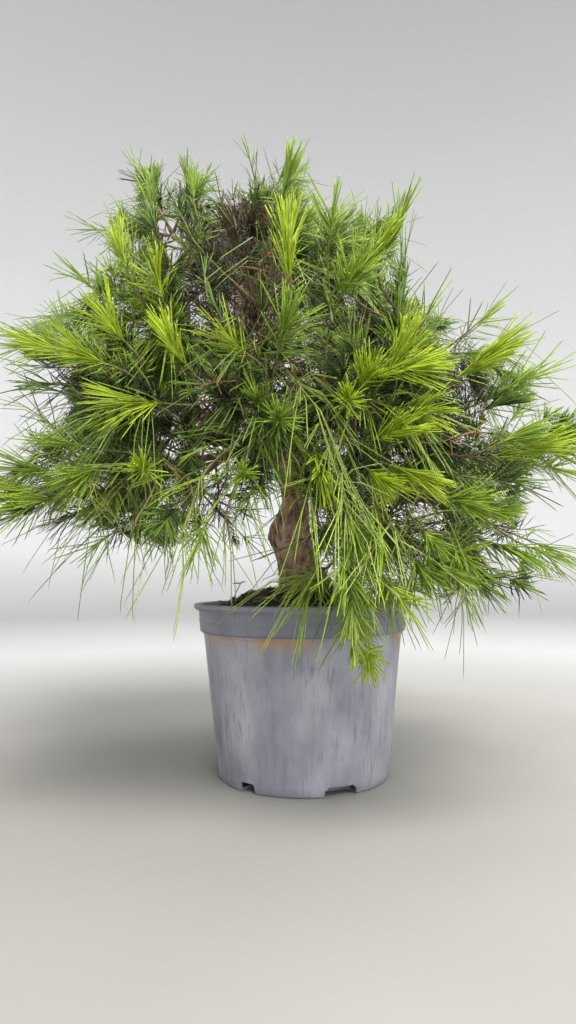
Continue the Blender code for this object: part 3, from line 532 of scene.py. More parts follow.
# Shoots that stand out in the photograph: pixel column and row of the place that their needles
# spring from, how deep in the crown that is, bearing, elevation, kind, tint and scale
SEEN_SHOOTS = (
    (347, 405, 0.97, 268, 12, "star", "lit", 1.00),
    (279, 422, 0.95, 272, 5, "star", "fresh", 1.25),
    (147, 470, 0.95, 262, 0, "star", "lit", 1.05),
    (245, 475, 0.93, 270, 0, "star", "fresh", 0.85),
    (318, 462, 0.95, 285, -48, "flame", "lit", 1.30),
    (178, 354, 0.94, 225, 46, "flame", "lit", 1.05),
    (390, 367, 0.94, 312, 56, "flame", "lit", 1.55),
    (395, 370, 0.93, 335, 2, "flame", "lit", 1.35),
    (152, 402, 0.95, 196, -2, "fan", "lit", 1.55),
    (118, 335, 0.90, 215, 58, "fan", "lit", 1.20),
    (160, 292, 0.91, 250, 70, "fan", "lit", 1.00),
    (95, 290, 0.88, 205, 40, "fan", "fresh", 1.10),
    (58, 350, 0.88, 190, 12, "fan", "lit", 1.30),
    (96, 360, 0.90, 205, 22, "fan", "lit", 1.20),
    (75, 445, 0.91, 195, 14, "fan", "fresh", 1.25),
    (40, 470, 0.88, 185, 8, "fan", "fresh", 1.25),
    (30, 492, 0.88, 190, -4, "fan", "lit", 1.20),
    (95, 470, 0.92, 215, -20, "fan", "fresh", 1.30),
    (280, 340, 0.92, 296, 48, "fan", "fresh", 1.20),
    (242, 350, 0.92, 208, 32, "fan", "lit", 1.15),
    (122, 256, 0.86, 180, 80, "flame", "lit", 1.05),
    (150, 198, 0.86, 110, 84, "flame", "fresh", 1.30),
    (156, 232, 0.86, 150, 70, "brush", "leaf", 1.10),
    (182, 216, 0.86, 150, 60, "brush", "leaf", 1.05),
    (168, 224, 0.85, 180, 60, "dry", "dry", 0.80),
    (193, 198, 0.86, 80, 80, "brush", "fresh", 1.25),
    (282, 194, 0.86, 320, 68, "flame", "fresh", 1.20),
    (288, 260, 0.91, 285, 80, "flame", "lit", 1.50),
    (330, 232, 0.89, 300, 60, "fan", "fresh", 1.25),
    (394, 236, 0.87, 335, 68, "flame", "fresh", 1.35),
    (372, 258, 0.91, 320, 50, "flame", "lit", 1.25),
    (345, 290, 0.93, 300, 40, "fan", "fresh", 1.20),
    (476, 364, 0.88, 334, 36, "flame", "lit", 1.40),
    (504, 390, 0.87, 345, 32, "flame", "fresh", 1.45),
    (520, 384, 0.86, 352, 24, "fan", "fresh", 1.25),
    (490, 408, 0.88, 340, 16, "fan", "leaf", 1.05),
    (516, 452, 0.88, 350, 14, "flame", "lit", 1.45),
    (505, 440, 0.89, 340, 34, "fan", "fresh", 1.25),
    (482, 512, 0.90, 348, 10, "flame", "fresh", 1.20),
    (386, 435, 0.95, 315, 4, "flame", "lit", 1.20),
    (400, 470, 0.95, 330, -18, "flame", "lit", 1.20),
    (452, 550, 0.91, 320, -30, "star", "fresh", 1.45),
    (366, 648, 0.90, 290, -62, "star", "lit", 1.05),
    (352, 600, 0.92, 262, -70, "brush", "pale", 1.40),
    (345, 562, 0.93, 262, -60, "fan", "fresh", 1.15),
    (395, 590, 0.92, 320, -50, "fan", "lit", 1.15),
    (222, 320, 0.85, 200, 62, "brush", "leaf", 1.20),
    (205, 280, 0.83, 100, 70, "brush", "leaf", 1.20),
    (300, 385, 0.80, 275, -30, "long", "olive", 1.05),
    (330, 440, 0.82, 268, -60, "long", "olive", 1.05),
    (375, 400, 0.84, 300, -20, "long", "fresh", 1.00),
    (262, 440, 0.80, 262, -60, "long", "leaf", 1.05),
    (236, 484, 0.80, 262, -65, "long", "fresh", 1.05),
    (196, 492, 0.84, 250, -60, "long", "olive", 1.05),
    (160, 505, 0.86, 245, -65, "long", "pale", 1.00),
    (110, 500, 0.86, 235, -60, "long", "olive", 1.05),
    (60, 510, 0.86, 215, -60, "long", "olive", 1.00),
    (95, 515, 0.88, 225, -70, "long", "leaf", 1.05),
    (136, 520, 0.88, 240, -70, "long", "olive", 1.05),
    (182, 530, 0.88, 250, -72, "long", "fresh", 1.00),
    (224, 528, 0.88, 262, -72, "long", "olive", 1.00),
    (446, 590, 0.88, 310, -70, "long", "olive", 0.95),
    (500, 585, 0.86, 330, -65, "long", "olive", 0.95),
    (345, 500, 0.82, 275, -66, "long", "pale", 1.10),
    (380, 520, 0.84, 290, -62, "long", "fresh", 1.10),
    (425, 500, 0.86, 310, -40, "long", "olive", 1.00),
    (440, 560, 0.88, 310, -55, "long", "pale", 0.95),
    (362, 590, 0.90, 285, -64, "long", "pale", 1.00),
    (335, 580, 0.90, 262, -55, "long", "pale", 0.90),
    (385, 610, 0.90, 300, -50, "long", "fresh", 0.85),
    (352, 625, 0.92, 272, -70, "brush", "lit", 1.20),
    (310, 480, 0.84, 262, -65, "long", "fresh", 1.00),
    (400, 540, 0.86, 300, -56, "long", "pale", 1.00),
    (540, 466, 0.85, 352, -10, "fan", "fresh", 1.00),
    (482, 540, 0.88, 330, -24, "fan", "leaf", 1.10),
    (500, 545, 0.87, 340, -10, "fan", "fresh", 1.20),
    (466, 572, 0.88, 325, -30, "fan", "leaf", 1.10),
    (428, 560, 0.92, 308, -40, "fan", "fresh", 1.15),
    (418, 566, 0.92, 300, -58, "fan", "fresh", 1.20),
    (410, 586, 0.92, 290, -60, "brush", "fresh", 1.20),
    (250, 494, 0.90, 262, -50, "brush", "leaf", 1.15),
    (48, 500, 0.88, 205, -16, "fan", "fresh", 1.20),
    (62, 384, 0.87, 195, 0, "fan", "leaf", 1.20),
    (424, 532, 0.92, 300, -40, "brush", "fresh", 1.15),
    (512, 580, 0.88, 335, -30, "brush", "leaf", 1.10),
    (108, 536, 0.90, 228, -40, "fan", "leaf", 1.15),
    (62, 392, 0.88, 200, 6, "fan", "leaf", 1.10),
    (424, 322, 0.88, 315, 62, "fan", "fresh", 1.20),
    (202, 530, 0.90, 255, -60, "fan", "fresh", 1.15),
    (172, 512, 0.92, 240, -50, "fan", "leaf", 1.10),
    (36, 508, 0.86, 205, -22, "fan", "leaf", 1.15),
    (262, 484, 0.88, 262, -40, "brush", "leaf", 1.20),
    (322, 530, 0.90, 285, -50, "brush", "leaf", 1.20),
    (500, 480, 0.90, 330, -8, "fan", "leaf", 1.20),
    (450, 500, 0.92, 318, -12, "fan", "fresh", 1.10),
    (470, 330, 0.86, 335, 40, "fan", "fresh", 1.10),
    (330, 300, 0.84, 280, 10, "long", "leaf", 0.95),
    (245, 330, 0.82, 255, 20, "long", "leaf", 0.95),
    (270, 250, 0.84, 265, 30, "long", "leaf", 0.85),
    (120, 410, 0.88, 215, -20, "long", "leaf", 0.95),
    (215, 382, 0.90, 260, -20, "dry", "dry", 1.00),
    (285, 296, 0.88, 280, 30, "dry", "dry", 0.90),
    (262, 262, 0.88, 300, 10, "dry", "dry", 1.00),
    (460, 436, 0.90, 330, 10, "dry", "dry", 1.00),
    (362, 384, 0.93, 300, 20, "fan", "lit", 1.10),
    (406, 412, 0.92, 325, -8, "fan", "lit", 1.15),
    (372, 472, 0.93, 300, -40, "fan", "lit", 1.15),
    (352, 522, 0.92, 285, -60, "fan", "fresh", 1.10),
)

# Weeds on the soil: place, height, sideways lean, leaves and their size
SEEDLINGS = (
    (-0.052, -0.030, 0.017, 0.005, 2, 0.006),
    (-0.054, -0.034, 0.007, 0.002, 3, 0.005),
    (-0.014, -0.026, 0.007, 0.001, 4, 0.006),
    (-0.060, -0.026, 0.006, -0.002, 3, 0.004),
    (0.030, 0.048, 0.009, 0.003, 4, 0.006),
    (-0.028, 0.058, 0.008, -0.002, 3, 0.005),
    (-0.033, -0.058, 0.006, 0.001, 2, 0.004),
)
STALK_RADII = (0.0005, 0.00032)

# Lumps on the soil: name, material, how many, sizes, flatness and seed
LUMPS = (
    ("soil_crumbs", "soil", 620, (0.0008, 0.0024), 0.8, 11),
    ("soil_chips", "soil_chips", 170, (0.0008, 0.0028), 0.4, 12),
    ("soil_grit", "soil_grit", 46, (0.0005, 0.0012), 0.8, 13),
    ("soil_moss", "soil_moss", 60, (0.0009, 0.0022), 0.6, 14),
)
SCATTER_RADIUS = 0.0765

# Fallen needles on the soil
LITTER_COUNT = 90
LITTER_RADIUS = 0.072
LITTER_LENGTHS = (0.008, 0.030)
LITTER_RADII = (0.00045, 0.00025)

# Barks: colours of the cracks, the middle tone and the pale flakes, and the noise's scale
BARKS = {
    "twig_bark": ((0.040, 0.020, 0.012), (0.115, 0.060, 0.034), (0.210, 0.125, 0.070), 700.0),
    "young_bark": ((0.070, 0.066, 0.020), (0.150, 0.135, 0.045), (0.240, 0.170, 0.080), 700.0),
    "trunk_bark": ((0.040, 0.022, 0.014), (0.250, 0.142, 0.092), (0.560, 0.400, 0.290), 270.0),
    "bough_bark": ((0.050, 0.030, 0.022), (0.150, 0.088, 0.060), (0.300, 0.190, 0.120), 260.0),
}

# Soil and what lies on it: dark and light colours, and the noise's scale
GROUNDS = {
    "soil": ((0.010, 0.008, 0.006), (0.060, 0.042, 0.030), 420.0),
    "soil_chips": ((0.060, 0.032, 0.018), (0.200, 0.120, 0.070), 900.0),
    "soil_grit": ((0.300, 0.270, 0.220), (0.600, 0.550, 0.470), 900.0),
    "soil_moss": ((0.040, 0.050, 0.012), (0.180, 0.200, 0.050), 900.0),
}

# The pot's colours, and how strong its stains are by height and from left to right
POT_DARK = (0.184, 0.190, 0.232)
POT_LIGHT = (0.262, 0.268, 0.318)
POT_BLOOM = (0.385, 0.392, 0.440)
POT_SCRATCH = (0.140, 0.144, 0.182)
POT_COLLAR = (0.100, 0.104, 0.136)
POT_RIM = (0.330, 0.340, 0.380)
POT_STAIN = (0.370, 0.205, 0.055)
STAIN_HEIGHTS = (0.0920, 0.1100)
STAIN_BY_HEIGHT = ((0.10, 0.0), (0.50, 0.35), (0.84, 1.0), (0.90, 0.0))
STAIN_SPAN = (-0.085, 0.085)
STAIN_BY_SPAN = (
    (0.05, 0.0), (0.10, 0.6), (0.22, 0.5), (0.26, 0.1), (0.32, 1.0), (0.50, 1.0), (0.58, 0.0), (0.86, 0.0),
    (0.90, 0.9),
)

# Stage: its level part, the sweep round it and its wall, and how it brightens outwards and upwards as
# painted light and a painted glow
STAGE_RADIUS = 2.2
STAGE_SWEEP = 1.3
STAGE_SWEEP_STEPS = 12
STAGE_TOP = 7.0
STAGE_NEAR = (0.34, 0.95)
STAGE_FAR_PAINTED_LIGHT = (0.50, 0.50, 0.50)
STAGE_WALL = (0.70, 0.70, 0.705)
STAGE_WALL_START = 0.30
STAGE_PAINTED_GLOW_HEIGHT = 3.0
STAGE_PAINTED_GLOW = ((0.0, 0.0), (0.10, 0.10), (0.35, 0.11), (1.0, 0.05))

# Lights: name, place, target, size, power and, for the key light, its colour
LIGHTS = (
    ("key", (0.5, -1.4, 2.0), (0.0, 0.0, 0.25), 1.1, 94.0, (1.0, 0.99, 0.96)),
    ("fill", (1.5, -1.1, 0.9), (0.0, 0.0, 0.25), 1.3, 10.0),
    ("low", (0.3, -1.7, 0.25), (0.0, 0.0, 0.22), 1.2, 10.0),
    ("top", (0.2, 0.3, 2.3), (0.0, 0.0, 0.3), 1.6, 40.0),
)
SURROUND = (0.95, 0.97, 1.0)
SURROUND_STRENGTH = 0.47


def unit(vector):
    return vector / np.linalg.norm(vector)


def units(rows):
    """Each row brought to a length of 1."""
    return rows / np.linalg.norm(rows, axis=1)[:, None]


def columns_at(wanted, marks, rows):
    """The columns of a table read off at the wanted marks, part-way ones included."""
    return np.column_stack([np.interp(wanted, marks, column) for column in rows.T])


def heading(bearing, elevation):
    flat = math.cos(math.radians(elevation))
    return np.array((
        flat * math.cos(math.radians(bearing)),
        flat * math.sin(math.radians(bearing)),
        math.sin(math.radians(elevation)),
    ))


def across(direction):
    """Two directions square to this one and to each other."""
    helper = np.array((0.0, 0.0, 1.0)) if abs(direction[2]) < UPRIGHT else np.array((1.0, 0.0, 0.0))
    side = unit(np.cross(helper, direction))
    return side, np.cross(direction, side)


def sides_of(ways):
    """Two directions square to each heading and to each other."""
    helper = np.where(np.abs(ways[:, 2:3]) < UPRIGHT, (0.0, 0.0, 1.0), (1.0, 0.0, 0.0))
    side = units(np.cross(helper, ways))
    return side, np.cross(ways, side)


def turned_away(direction, angle, turn):
    """The direction leant over by an angle, towards the side that the turn picks (degrees)."""
    side, over = across(direction)
    aside = side * math.cos(math.radians(turn)) + over * math.sin(math.radians(turn))
    return direction * math.cos(math.radians(angle)) + aside * math.sin(math.radians(angle))


def ring(centre, side, over, radius, sides):
    turns = [math.tau * k / sides for k in range(sides)]
    return [centre + radius * (side * math.cos(a) + over * math.sin(a)) for a in turns]


def smooth_line(points, count):
    """Points evenly spread over a smooth curve through the given ones, radii carried along."""
    rows = np.array(points)
    ends = np.vstack((2 * rows[0] - rows[1], rows, 2 * rows[-1] - rows[-2]))
    out = []
    for share in np.linspace(0.0, len(rows) - 1.0, count):
        k = min(int(share), len(rows) - 2)
        t = share - k
        a, b, c, d = ends[k:k + 4]
        curve = 2 * b + (c - a) * t + (2 * a - 5 * b + 4 * c - d) * t * t + (3 * b - 3 * c + d - a) * t ** 3
        out.append(curve / 2)
    return np.array(out)


def trunk_radius(radius, height, angle):
    """The trunk's radius with its root flare's lobes and the stub of an old side shoot."""
    flare = math.exp(-(height - TRUNK_LINE[0][2]) / FLARE_HEIGHT)
    lobes = 1 + FLARE_DEPTH * flare * math.cos(FLARE_LOBES * angle + FLARE_TURN)
    turn = (math.degrees(angle) - KNOB_BEARING + 180.0) % 360.0 - 180.0
    knob = math.exp(-(turn / KNOB_HALF_ANGLE) ** 2 - ((height - KNOB_HEIGHT) / KNOB_HALF_HEIGHT) ** 2)
    return radius * lobes + KNOB_REACH * knob


def gaps_to(limbs, point):
    """Gap from a point to the surface of each tapered length of limb."""
    starts, ends = limbs[:, START], limbs[:, END]
    along = ends - starts
    share = np.clip(((point - starts) * along).sum(1) / (along * along).sum(1), 0.0, 1.0)
    nearest = starts + along * share[:, None]
    radius = limbs[:, START_RADIUS] + (limbs[:, END_RADIUS] - limbs[:, START_RADIUS]) * share
    return np.linalg.norm(point - nearest, axis=1) - radius


def lengths_of(line):
    """A line of (x, y, z, radius) as rows of start, radius, end, radius."""
    return np.hstack((line[:-1], line[1:]))


def clear_of(limbs, start, end, start_radius, end_radius, gap):
    """True where a tapered rod from start to end keeps the gap to every length of limb."""
    if not len(limbs):
        return True
    rod = end - start
    starts, ends = limbs[:, START], limbs[:, END]
    along = ends - starts
    between = start - starts
    a = rod @ rod
    e = (along * along).sum(1)
    f = (along * between).sum(1)
    c = between @ rod
    b = along @ rod
    spread = a * e - b * b
    crossing = np.clip((b * f - c * e) / np.maximum(spread, PARALLEL), 0.0, 1.0)
    s = np.where(spread > PARALLEL, crossing, 0.0)
    t = (b * s + f) / e
    at_start = np.clip(-c / a, 0.0, 1.0)
    at_end = np.clip((b - c) / a, 0.0, 1.0)
    s = np.where(t < 0, at_start, np.where(t > 1, at_end, s))
    t = np.clip(t, 0.0, 1.0)
    apart = np.linalg.norm(between + rod * s[:, None] - along * t[:, None], axis=1)
    need = start_radius + (end_radius - start_radius) * s
    need = need + limbs[:, START_RADIUS] + (limbs[:, END_RADIUS] - limbs[:, START_RADIUS]) * t + gap
    return bool((apart >= need).all())


def bough_line(start, bearing, elevation, length, bow, base_radius):
    """Centre line of a bough, bowed upwards, from the trunk's middle to its own tip."""
    end = start + heading(bearing, elevation) * length
    middle = (start + end) / 2 + np.array((0.0, 0.0, 2 * bow * length))
    rows = []
    for share in np.linspace(0.0, 1.0, 4 * BOUGH_RINGS):
        place = start * (1 - share) ** 2 + middle * 2 * share * (1 - share) + end * share * share
        radius = base_radius + (BOUGH_TIP_RADIUS - base_radius) * share
        rows.append((*place, radius))
    return np.array(rows)


def point_on(line, place):
    """The row of a line at a place counted in rows, part-way ones included."""
    k = min(int(place), len(line) - 2)
    return line[k] + (line[k + 1] - line[k]) * (place - k)


def cut_clear(line, trunk):
    """The line from where a full section first stands clear of the trunk."""
    for share in np.arange(0.0, 1.0, LEAVING_STEP):
        place = share * (len(line) - 1)
        k = int(place)
        row = point_on(line, place)
        along = unit(line[k + 1][:3] - line[k][:3])
        section = ring(row[:3], *across(along), row[3], 2 * BOUGH_SIDES)
        if min(gaps_to(trunk, point).min() for point in section + [row[:3]]) > LIMB_GAP * 1.2:
            rest = np.vstack((row, line[k + 1:]))
            places = np.linspace(0.0, len(rest) - 1.0, BOUGH_RINGS)
            return np.array([point_on(rest, place) for place in places])
    raise ValueError("a bough never leaves the trunk")


def spaces_of(tips):
    """For each mass: its tip of limb, heading, reach, and the ball that bounds its space."""
    spaces = {}
    for name, limb, bearing, elevation, reach in MASSES:
        along = heading(bearing, elevation)
        spaces[name] = {
            "foot": tips[limb],
            "along": along,
            "reach": reach,
            "centre": tips[limb] + along * reach / 2,
            "radius": reach * SPACE_RADIUS_SHARE,
            "walls": [],
        }
    for name, space in spaces.items():
        for other, beside in spaces.items():
            apart = beside["centre"] - space["centre"]
            distance = np.linalg.norm(apart)
            if other == name or distance > space["radius"] + beside["radius"]:
                continue
            if np.allclose(space["foot"], beside["foot"]):
                normal = unit(beside["along"] - space["along"])
                limit = normal @ space["foot"]
            else:
                normal = apart / distance
                lead = (space["reach"] ** 2 - beside["reach"] ** 2) / 4
                limit = normal @ space["centre"] + (distance ** 2 + lead) / (2 * distance)
            space["walls"].append((normal, limit - SPACE_MARGIN))
    return spaces


def crown_level(points):
    """How far out each point lies: 0 at the crown's centre, 1 on its outline."""
    offset = np.atleast_2d(points) - np.array(CROWN_CENTRE)
    above = offset[:, 2] > 0
    shift = np.where(above, CROWN_LEAN * offset[:, 2], 0.0)
    level = np.abs(offset[:, 2]) / np.where(above, CROWN_RISE, CROWN_DROP)
    out = np.hypot((offset[:, 0] - shift) / CROWN_HALF_WIDTH, offset[:, 1] / CROWN_HALF_DEPTH)
    power = np.where(above, CROWN_TOP_POWER, CROWN_FOOT_POWER)
    return out ** power + level ** power


def in_crown(point):
    """True inside the crown's outline."""
    return point[2] < CROWN_TOP and crown_level(point)[0] < 1.0


def in_space(space, point):
    """True inside a mass's ball, the crown and the walls that part it from its neighbours."""
    if np.linalg.norm(point - space["centre"]) > space["radius"]:
        return False
    return in_crown(point) and all(normal @ point <= offset for normal, offset in space["walls"])


def clear_of_pot(start, end):
    """True where a straight run stays off the pot's rim and the soil in it."""
    for share in (0.25, 0.5, 0.75, 1.0):
        x, y, z = start + (end - start) * share
        if z < SOIL_CLEAR_HEIGHT and math.hypot(x, y) < POT_CLEAR_RADIUS:
            return False
    return True


def reach_along(space, start, along):
    """How far a line from start runs before it leaves the space."""
    offset = start - space["centre"]
    b = offset @ along
    root = b * b - (offset @ offset - space["radius"] ** 2)
    if root <= 0:
        return 0.0
    far = -b + math.sqrt(root)
    for normal, limit in space["walls"]:
        rate = normal @ along
        if rate > 1e-9:
            far = min(far, (limit - normal @ start) / rate)
    while far > LEAST_REACH and not in_crown(start + along * far):
        far *= REACH_STEP
    return far


def stem_foot(space, limbs, others):
    """Where a stem starts, just clear of the limb's tip and of the stems beside it."""
    side, over = across(space["along"])
    for step in np.arange(*STEM_SEARCH):
        start = space["foot"] + space["along"] * step
        section = ring(start, side, over, STEM_FOOT_RADIUS, 6)
        if min(gaps_to(limbs, point).min() for point in section) < LIMB_GAP * 1.1:
            continue
        knee = start + space["along"] * STEM_KNEE
        if clear_of(others, start, knee, STEM_FOOT_RADIUS, STEM_RADIUS, LIMB_GAP * 1.1):
            return start
    raise ValueError("no room for a stem")


def plan_leader(space, start):
    """The main shoot of a mass: a stem, then a core with needles, straight along its heading."""
    along = space["along"]
    left = space["reach"] - np.linalg.norm(start - space["foot"])
    reach = min(left, reach_along(space, start, along))
    stem = reach * LEADER_STEM_SHARE
    return {
        "line": [start, start + along * STEM_KNEE, start + along * stem],
        "radii": [STEM_FOOT_RADIUS, STEM_RADIUS, STEM_RADIUS],
        "core": (start + along * stem, start + along * (stem + LEADER_CORE)),
        "needle": reach - stem - LEADER_CORE,
    }


def plan_lateral(space, leader, share, lean, turn, solid):
    """A side shoot from the leader's stem, or None where it has no room."""
    foot = leader["line"][0] + (leader["line"][-1] - leader["line"][0]) * share
    out = turned_away(space["along"], lean + LATERAL_BEND, turn)
    end_way = turned_away(space["along"], lean - LATERAL_BEND, turn)
    room = reach_along(space, foot, turned_away(space["along"], lean, turn))
    reach = min(room, space["reach"] * LATERAL_MOST_SHARE)
    if reach < LEAST_REACH:
        return None
    twig = reach * LATERAL_STEM_SHARE
    knee = foot + out * twig * LATERAL_KNEE_SHARE
    twig_end = knee + unit(out + end_way) * twig * (1 - LATERAL_KNEE_SHARE)
    core_end = twig_end + end_way * LATERAL_CORE
    clear_start = foot + out * LATERAL_SINK * STEM_RADIUS
    runs = (
        (clear_start, knee, TWIG_RADIUS),
        (knee, twig_end, TWIG_RADIUS),
        (twig_end, core_end, CORE_RADIUS),
    )
    for a, b, radius in runs:
        if np.linalg.norm(b - a) < TWIG_FOOT_RADIUS:
            return None
        if not clear_of(solid, a, b, radius, radius, 4 * LIMB_GAP) or not clear_of_pot(a, b):
            return None
    if not in_space(space, core_end):
        return None
    return {
        "line": [foot, clear_start, knee, twig_end],
        "radii": [TWIG_FOOT_RADIUS, TWIG_RADIUS, TWIG_RADIUS, TWIG_RADIUS],
        "core": (twig_end, core_end),
        "needle": reach - twig - LATERAL_CORE,
    }


def shoot_rows(shoot):
    """The shoot's wood as rows of start, radius, end, radius."""
    places = [*shoot["line"], shoot["core"][1]]
    radii = [*shoot["radii"], CORE_RADIUS]
    return lengths_of(np.array([(*place, radius) for place, radius in zip(places, radii)]))


def near_rows(rows, space):
    """The rows of wood that lie close enough to a space to be met in it."""
    middles = (rows[:, START] + rows[:, END]) / 2
    return rows[np.linalg.norm(middles - space["centre"], axis=1) < NEIGHBOUR_RADII * space["radius"]]


def plan_shoots(space, rng, leader, fixed):
    """The leader and the side shoots that find room in tiers round it."""
    shoots = [leader]
    for share, lean, count in LATERAL_TIERS:
        first = rng.uniform(0.0, 360.0)
        for k in range(count):
            solid = np.vstack((fixed, *map(shoot_rows, shoots)))
            for attempt in range(LATERAL_TRIES):
                turn = first + 360.0 * k / count
                turn += attempt * rng.uniform(-LATERAL_TRY_TURN, LATERAL_TRY_TURN)
                tilt = lean + attempt * rng.uniform(-LATERAL_TRY_LEAN, LATERAL_TRY_LEAN)
                lateral = plan_lateral(space, leader, share, tilt, turn, solid)
                if lateral:
                    shoots.append(lateral)
                    break
    return shoots


def plan_tree():
    """The trunk's line, the boughs' lines and each mass's main shoots, all as in the solids."""
    trunk = smooth_line(TRUNK_LINE, TRUNK_RINGS)
    trunk_rows = lengths_of(trunk)
    limbs = [trunk_rows]
    tips = {"trunk": trunk[-1][:3]}
    boughs = {}
    for name, height, bearing, elevation, length, bow, radius in BOUGHS:
        start = columns_at(height, trunk[:, 2], trunk[:, :3])[0]
        whole = bough_line(start, bearing, elevation, length, bow, radius)
        line = cut_clear(whole, trunk_rows)
        boughs[name] = whole
        limbs.append(lengths_of(line))
        tips[name] = line[-1][:3]
    limbs = np.vstack(limbs)
    spaces = spaces_of(tips)
    leaders = {}
    started = np.empty((0, 8))
    for name, space in spaces.items():
        start = stem_foot(space, limbs, started)
        leaders[name] = plan_leader(space, start)
        started = np.vstack((started, shoot_rows(leaders[name])))
    masses = {}
    for name, space in spaces.items():
        beside = [shoot_rows(other) for key, other in leaders.items() if key != name]
        fixed = near_rows(np.vstack((limbs, *beside)), space)
        masses[name] = plan_shoots(space, random.Random(name), leaders[name], fixed)
    return trunk, boughs, masses


def piece_from(name, points, triangles, material, smooth=True):
    """One object from arrays of points and of triangles."""
    mesh = bpy.data.meshes.new(name)
    mesh.vertices.add(len(points))
    mesh.vertices.foreach_set("co", np.asarray(points, np.float32).ravel())
    mesh.loops.add(3 * len(triangles))
    mesh.loops.foreach_set("vertex_index", np.asarray(triangles, np.int32).ravel())
    mesh.polygons.add(len(triangles))
    mesh.polygons.foreach_set("loop_start", np.arange(0, 3 * len(triangles), 3, dtype=np.int32))
    mesh.polygons.foreach_set("use_smooth", np.full(len(triangles), smooth))
    mesh.update(calc_edges=True)
    mesh.materials.append(material)
    made = bpy.data.objects.new(name, mesh)
    bpy.context.scene.collection.objects.link(made)
    return made


def tube_triangles(rings, sides):
    """Triangles of a tube of so many rings, with both ends closed by a fan from its first point."""
    k = np.arange(sides)
    n = (k + 1) % sides
    band = np.vstack((
        np.column_stack((k, n, n + sides)),
        np.column_stack((k, n + sides, k + sides)),
    ))
    bands = (band[None] + sides * np.arange(rings - 1)[:, None, None]).reshape(-1, 3)
    fan = np.array([(0, i + 1, i) for i in range(1, sides - 1)])
    last = sides * (rings - 1) + fan[:, ::-1]
    return np.vstack((bands, fan, last))


def tube_points(line, radii, sides, relief=None):
    """Rings of points round a line. relief gives the radius's factor at a place."""
    along = units(np.gradient(line, axis=0))
    side = across(along[0])[0]
    angles = math.tau * np.arange(sides) / sides
    out = []
    for k, place in enumerate(line):
        side = unit(side - along[k] * (side @ along[k]))
        over = np.cross(along[k], side)
        ways = np.cos(angles)[:, None] * side + np.sin(angles)[:, None] * over
        wide = np.full(sides, radii[k])
        if relief:
            wide = np.array([radii[k] * relief(place + way * radii[k]) for way in ways])
        out.append(place + ways * wide[:, None])
    return np.vstack(out)


class Gathered:
    """Parts of one piece, gathered as arrays until they are joined."""

    def __init__(self):
        self.points = []
        self.triangles = []
        self.count = 0

    def put(self, points, triangles):
        self.points.append(points)
        self.triangles.append(triangles + self.count)
        self.count += len(points)

    def tube(self, line, radii, sides):
        self.put(tube_points(line, radii, sides), tube_triangles(len(line), sides))

    def twig(self, line, foot_radius, tip_radius, sides, rng):
        rough = rng.uniform(*TWIG_ROUGHNESS, len(line))
        self.tube(line, np.linspace(foot_radius, tip_radius, len(line)) * rough, sides)

    def build(self, name, material, smooth=True):
        return piece_from(name, np.vstack(self.points), np.vstack(self.triangles), material, smooth)


def shares_along(line):
    """How far along a line each of its points lies, from 0 to 1, and the line's length."""
    steps = np.linalg.norm(np.diff(line, axis=0), axis=1)
    run = np.concatenate(((0.0,), np.cumsum(steps)))
    return run / run[-1], run[-1]


def frames_at(line, shares):
    """Places and headings at shares of a line, with two directions across each heading."""
    runs = shares_along(line)[0]
    place = columns_at(shares, runs, line[:, :3])
    way = units(columns_at(shares, runs, np.gradient(line, axis=0)[:, :3]))
    return place, way, *sides_of(way)


def needle_rows(rng, line, shares, leans, lengths, droop, radius, bending=NEEDLE_BEND, turns=None):
    """Needles on a twig as rows of foot, way, bend, length and radius."""
    count = len(shares)
    place, way, side, over = frames_at(line, shares)
    if turns is None:
        turns = GOLDEN_TURN * np.arange(count) + rng.uniform(*NEEDLE_TURNS, count)
    turns = np.radians(turns)[:, None]
    lean = np.radians(leans)[:, None]
    aside = side * np.cos(turns) + over * np.sin(turns)
    out = way * np.cos(lean) + aside * np.sin(lean)
    curl = rng.uniform(*NEEDLE_CURL, count)[:, None]
    sag = droop * rng.uniform(*NEEDLE_SAG, count) * np.hypot(out[:, 0], out[:, 1])
    bend = (way - out) * curl + rng.normal(0.0, bending, (count, 3))
    bend[:, 2] -= sag
    return np.column_stack((place, out, bend, lengths, np.full(count, radius)))


def needle_place(rows, share):
    """Where the needles are at a share of their length."""
    return rows[:, FOOT] + rows[:, [LENGTH]] * (rows[:, WAY] * share + rows[:, BEND] * share * share)


def soil_height(x, y):
    """Height of the soil: level at the rim, rising to the trunk's seat, with a little relief."""
    radius = np.hypot(x, y)
    share = np.clip((SOIL_EDGE_RADIUS - radius) / (SOIL_EDGE_RADIUS - SOIL_SEAT_RADIUS), 0.0, 1.0)
    rise = (SOIL_SEAT_HEIGHT - SOIL_EDGE_HEIGHT) * share * share * (3 - 2 * share)
    a, b, c, d = SOIL_WAVES
    relief = np.sin(a * x + b * y) * np.cos(c * y + d * x)
    return SOIL_EDGE_HEIGHT + rise + SOIL_RELIEF * relief * np.sin(math.pi * share)


def tip_rule(rng, form, length, scale, share):
    """For the needles of a tip: how far back each springs, its place on the twig, lean and length."""
    count = max(LEAST_TIPS, int(form["tips"] * share * min(1.0, 0.4 + 0.6 * scale)))
    back = rng.random(count) ** TIP_CROWDING
    shares = 1.0 - min(form["tip_share"], form["zone"] * scale / length) * back
    low, high = form["tip_leans"]
    leans = low + (high - low) * np.clip(back + rng.normal(0.0, TIP_LEAN_SPREAD, count), 0.0, 1.1)
    low, high = form["tip"]
    lengths = rng.uniform(low, high, count) * scale * (1.0 - TIP_SHORTENING * back)
    return back, shares, leans, lengths


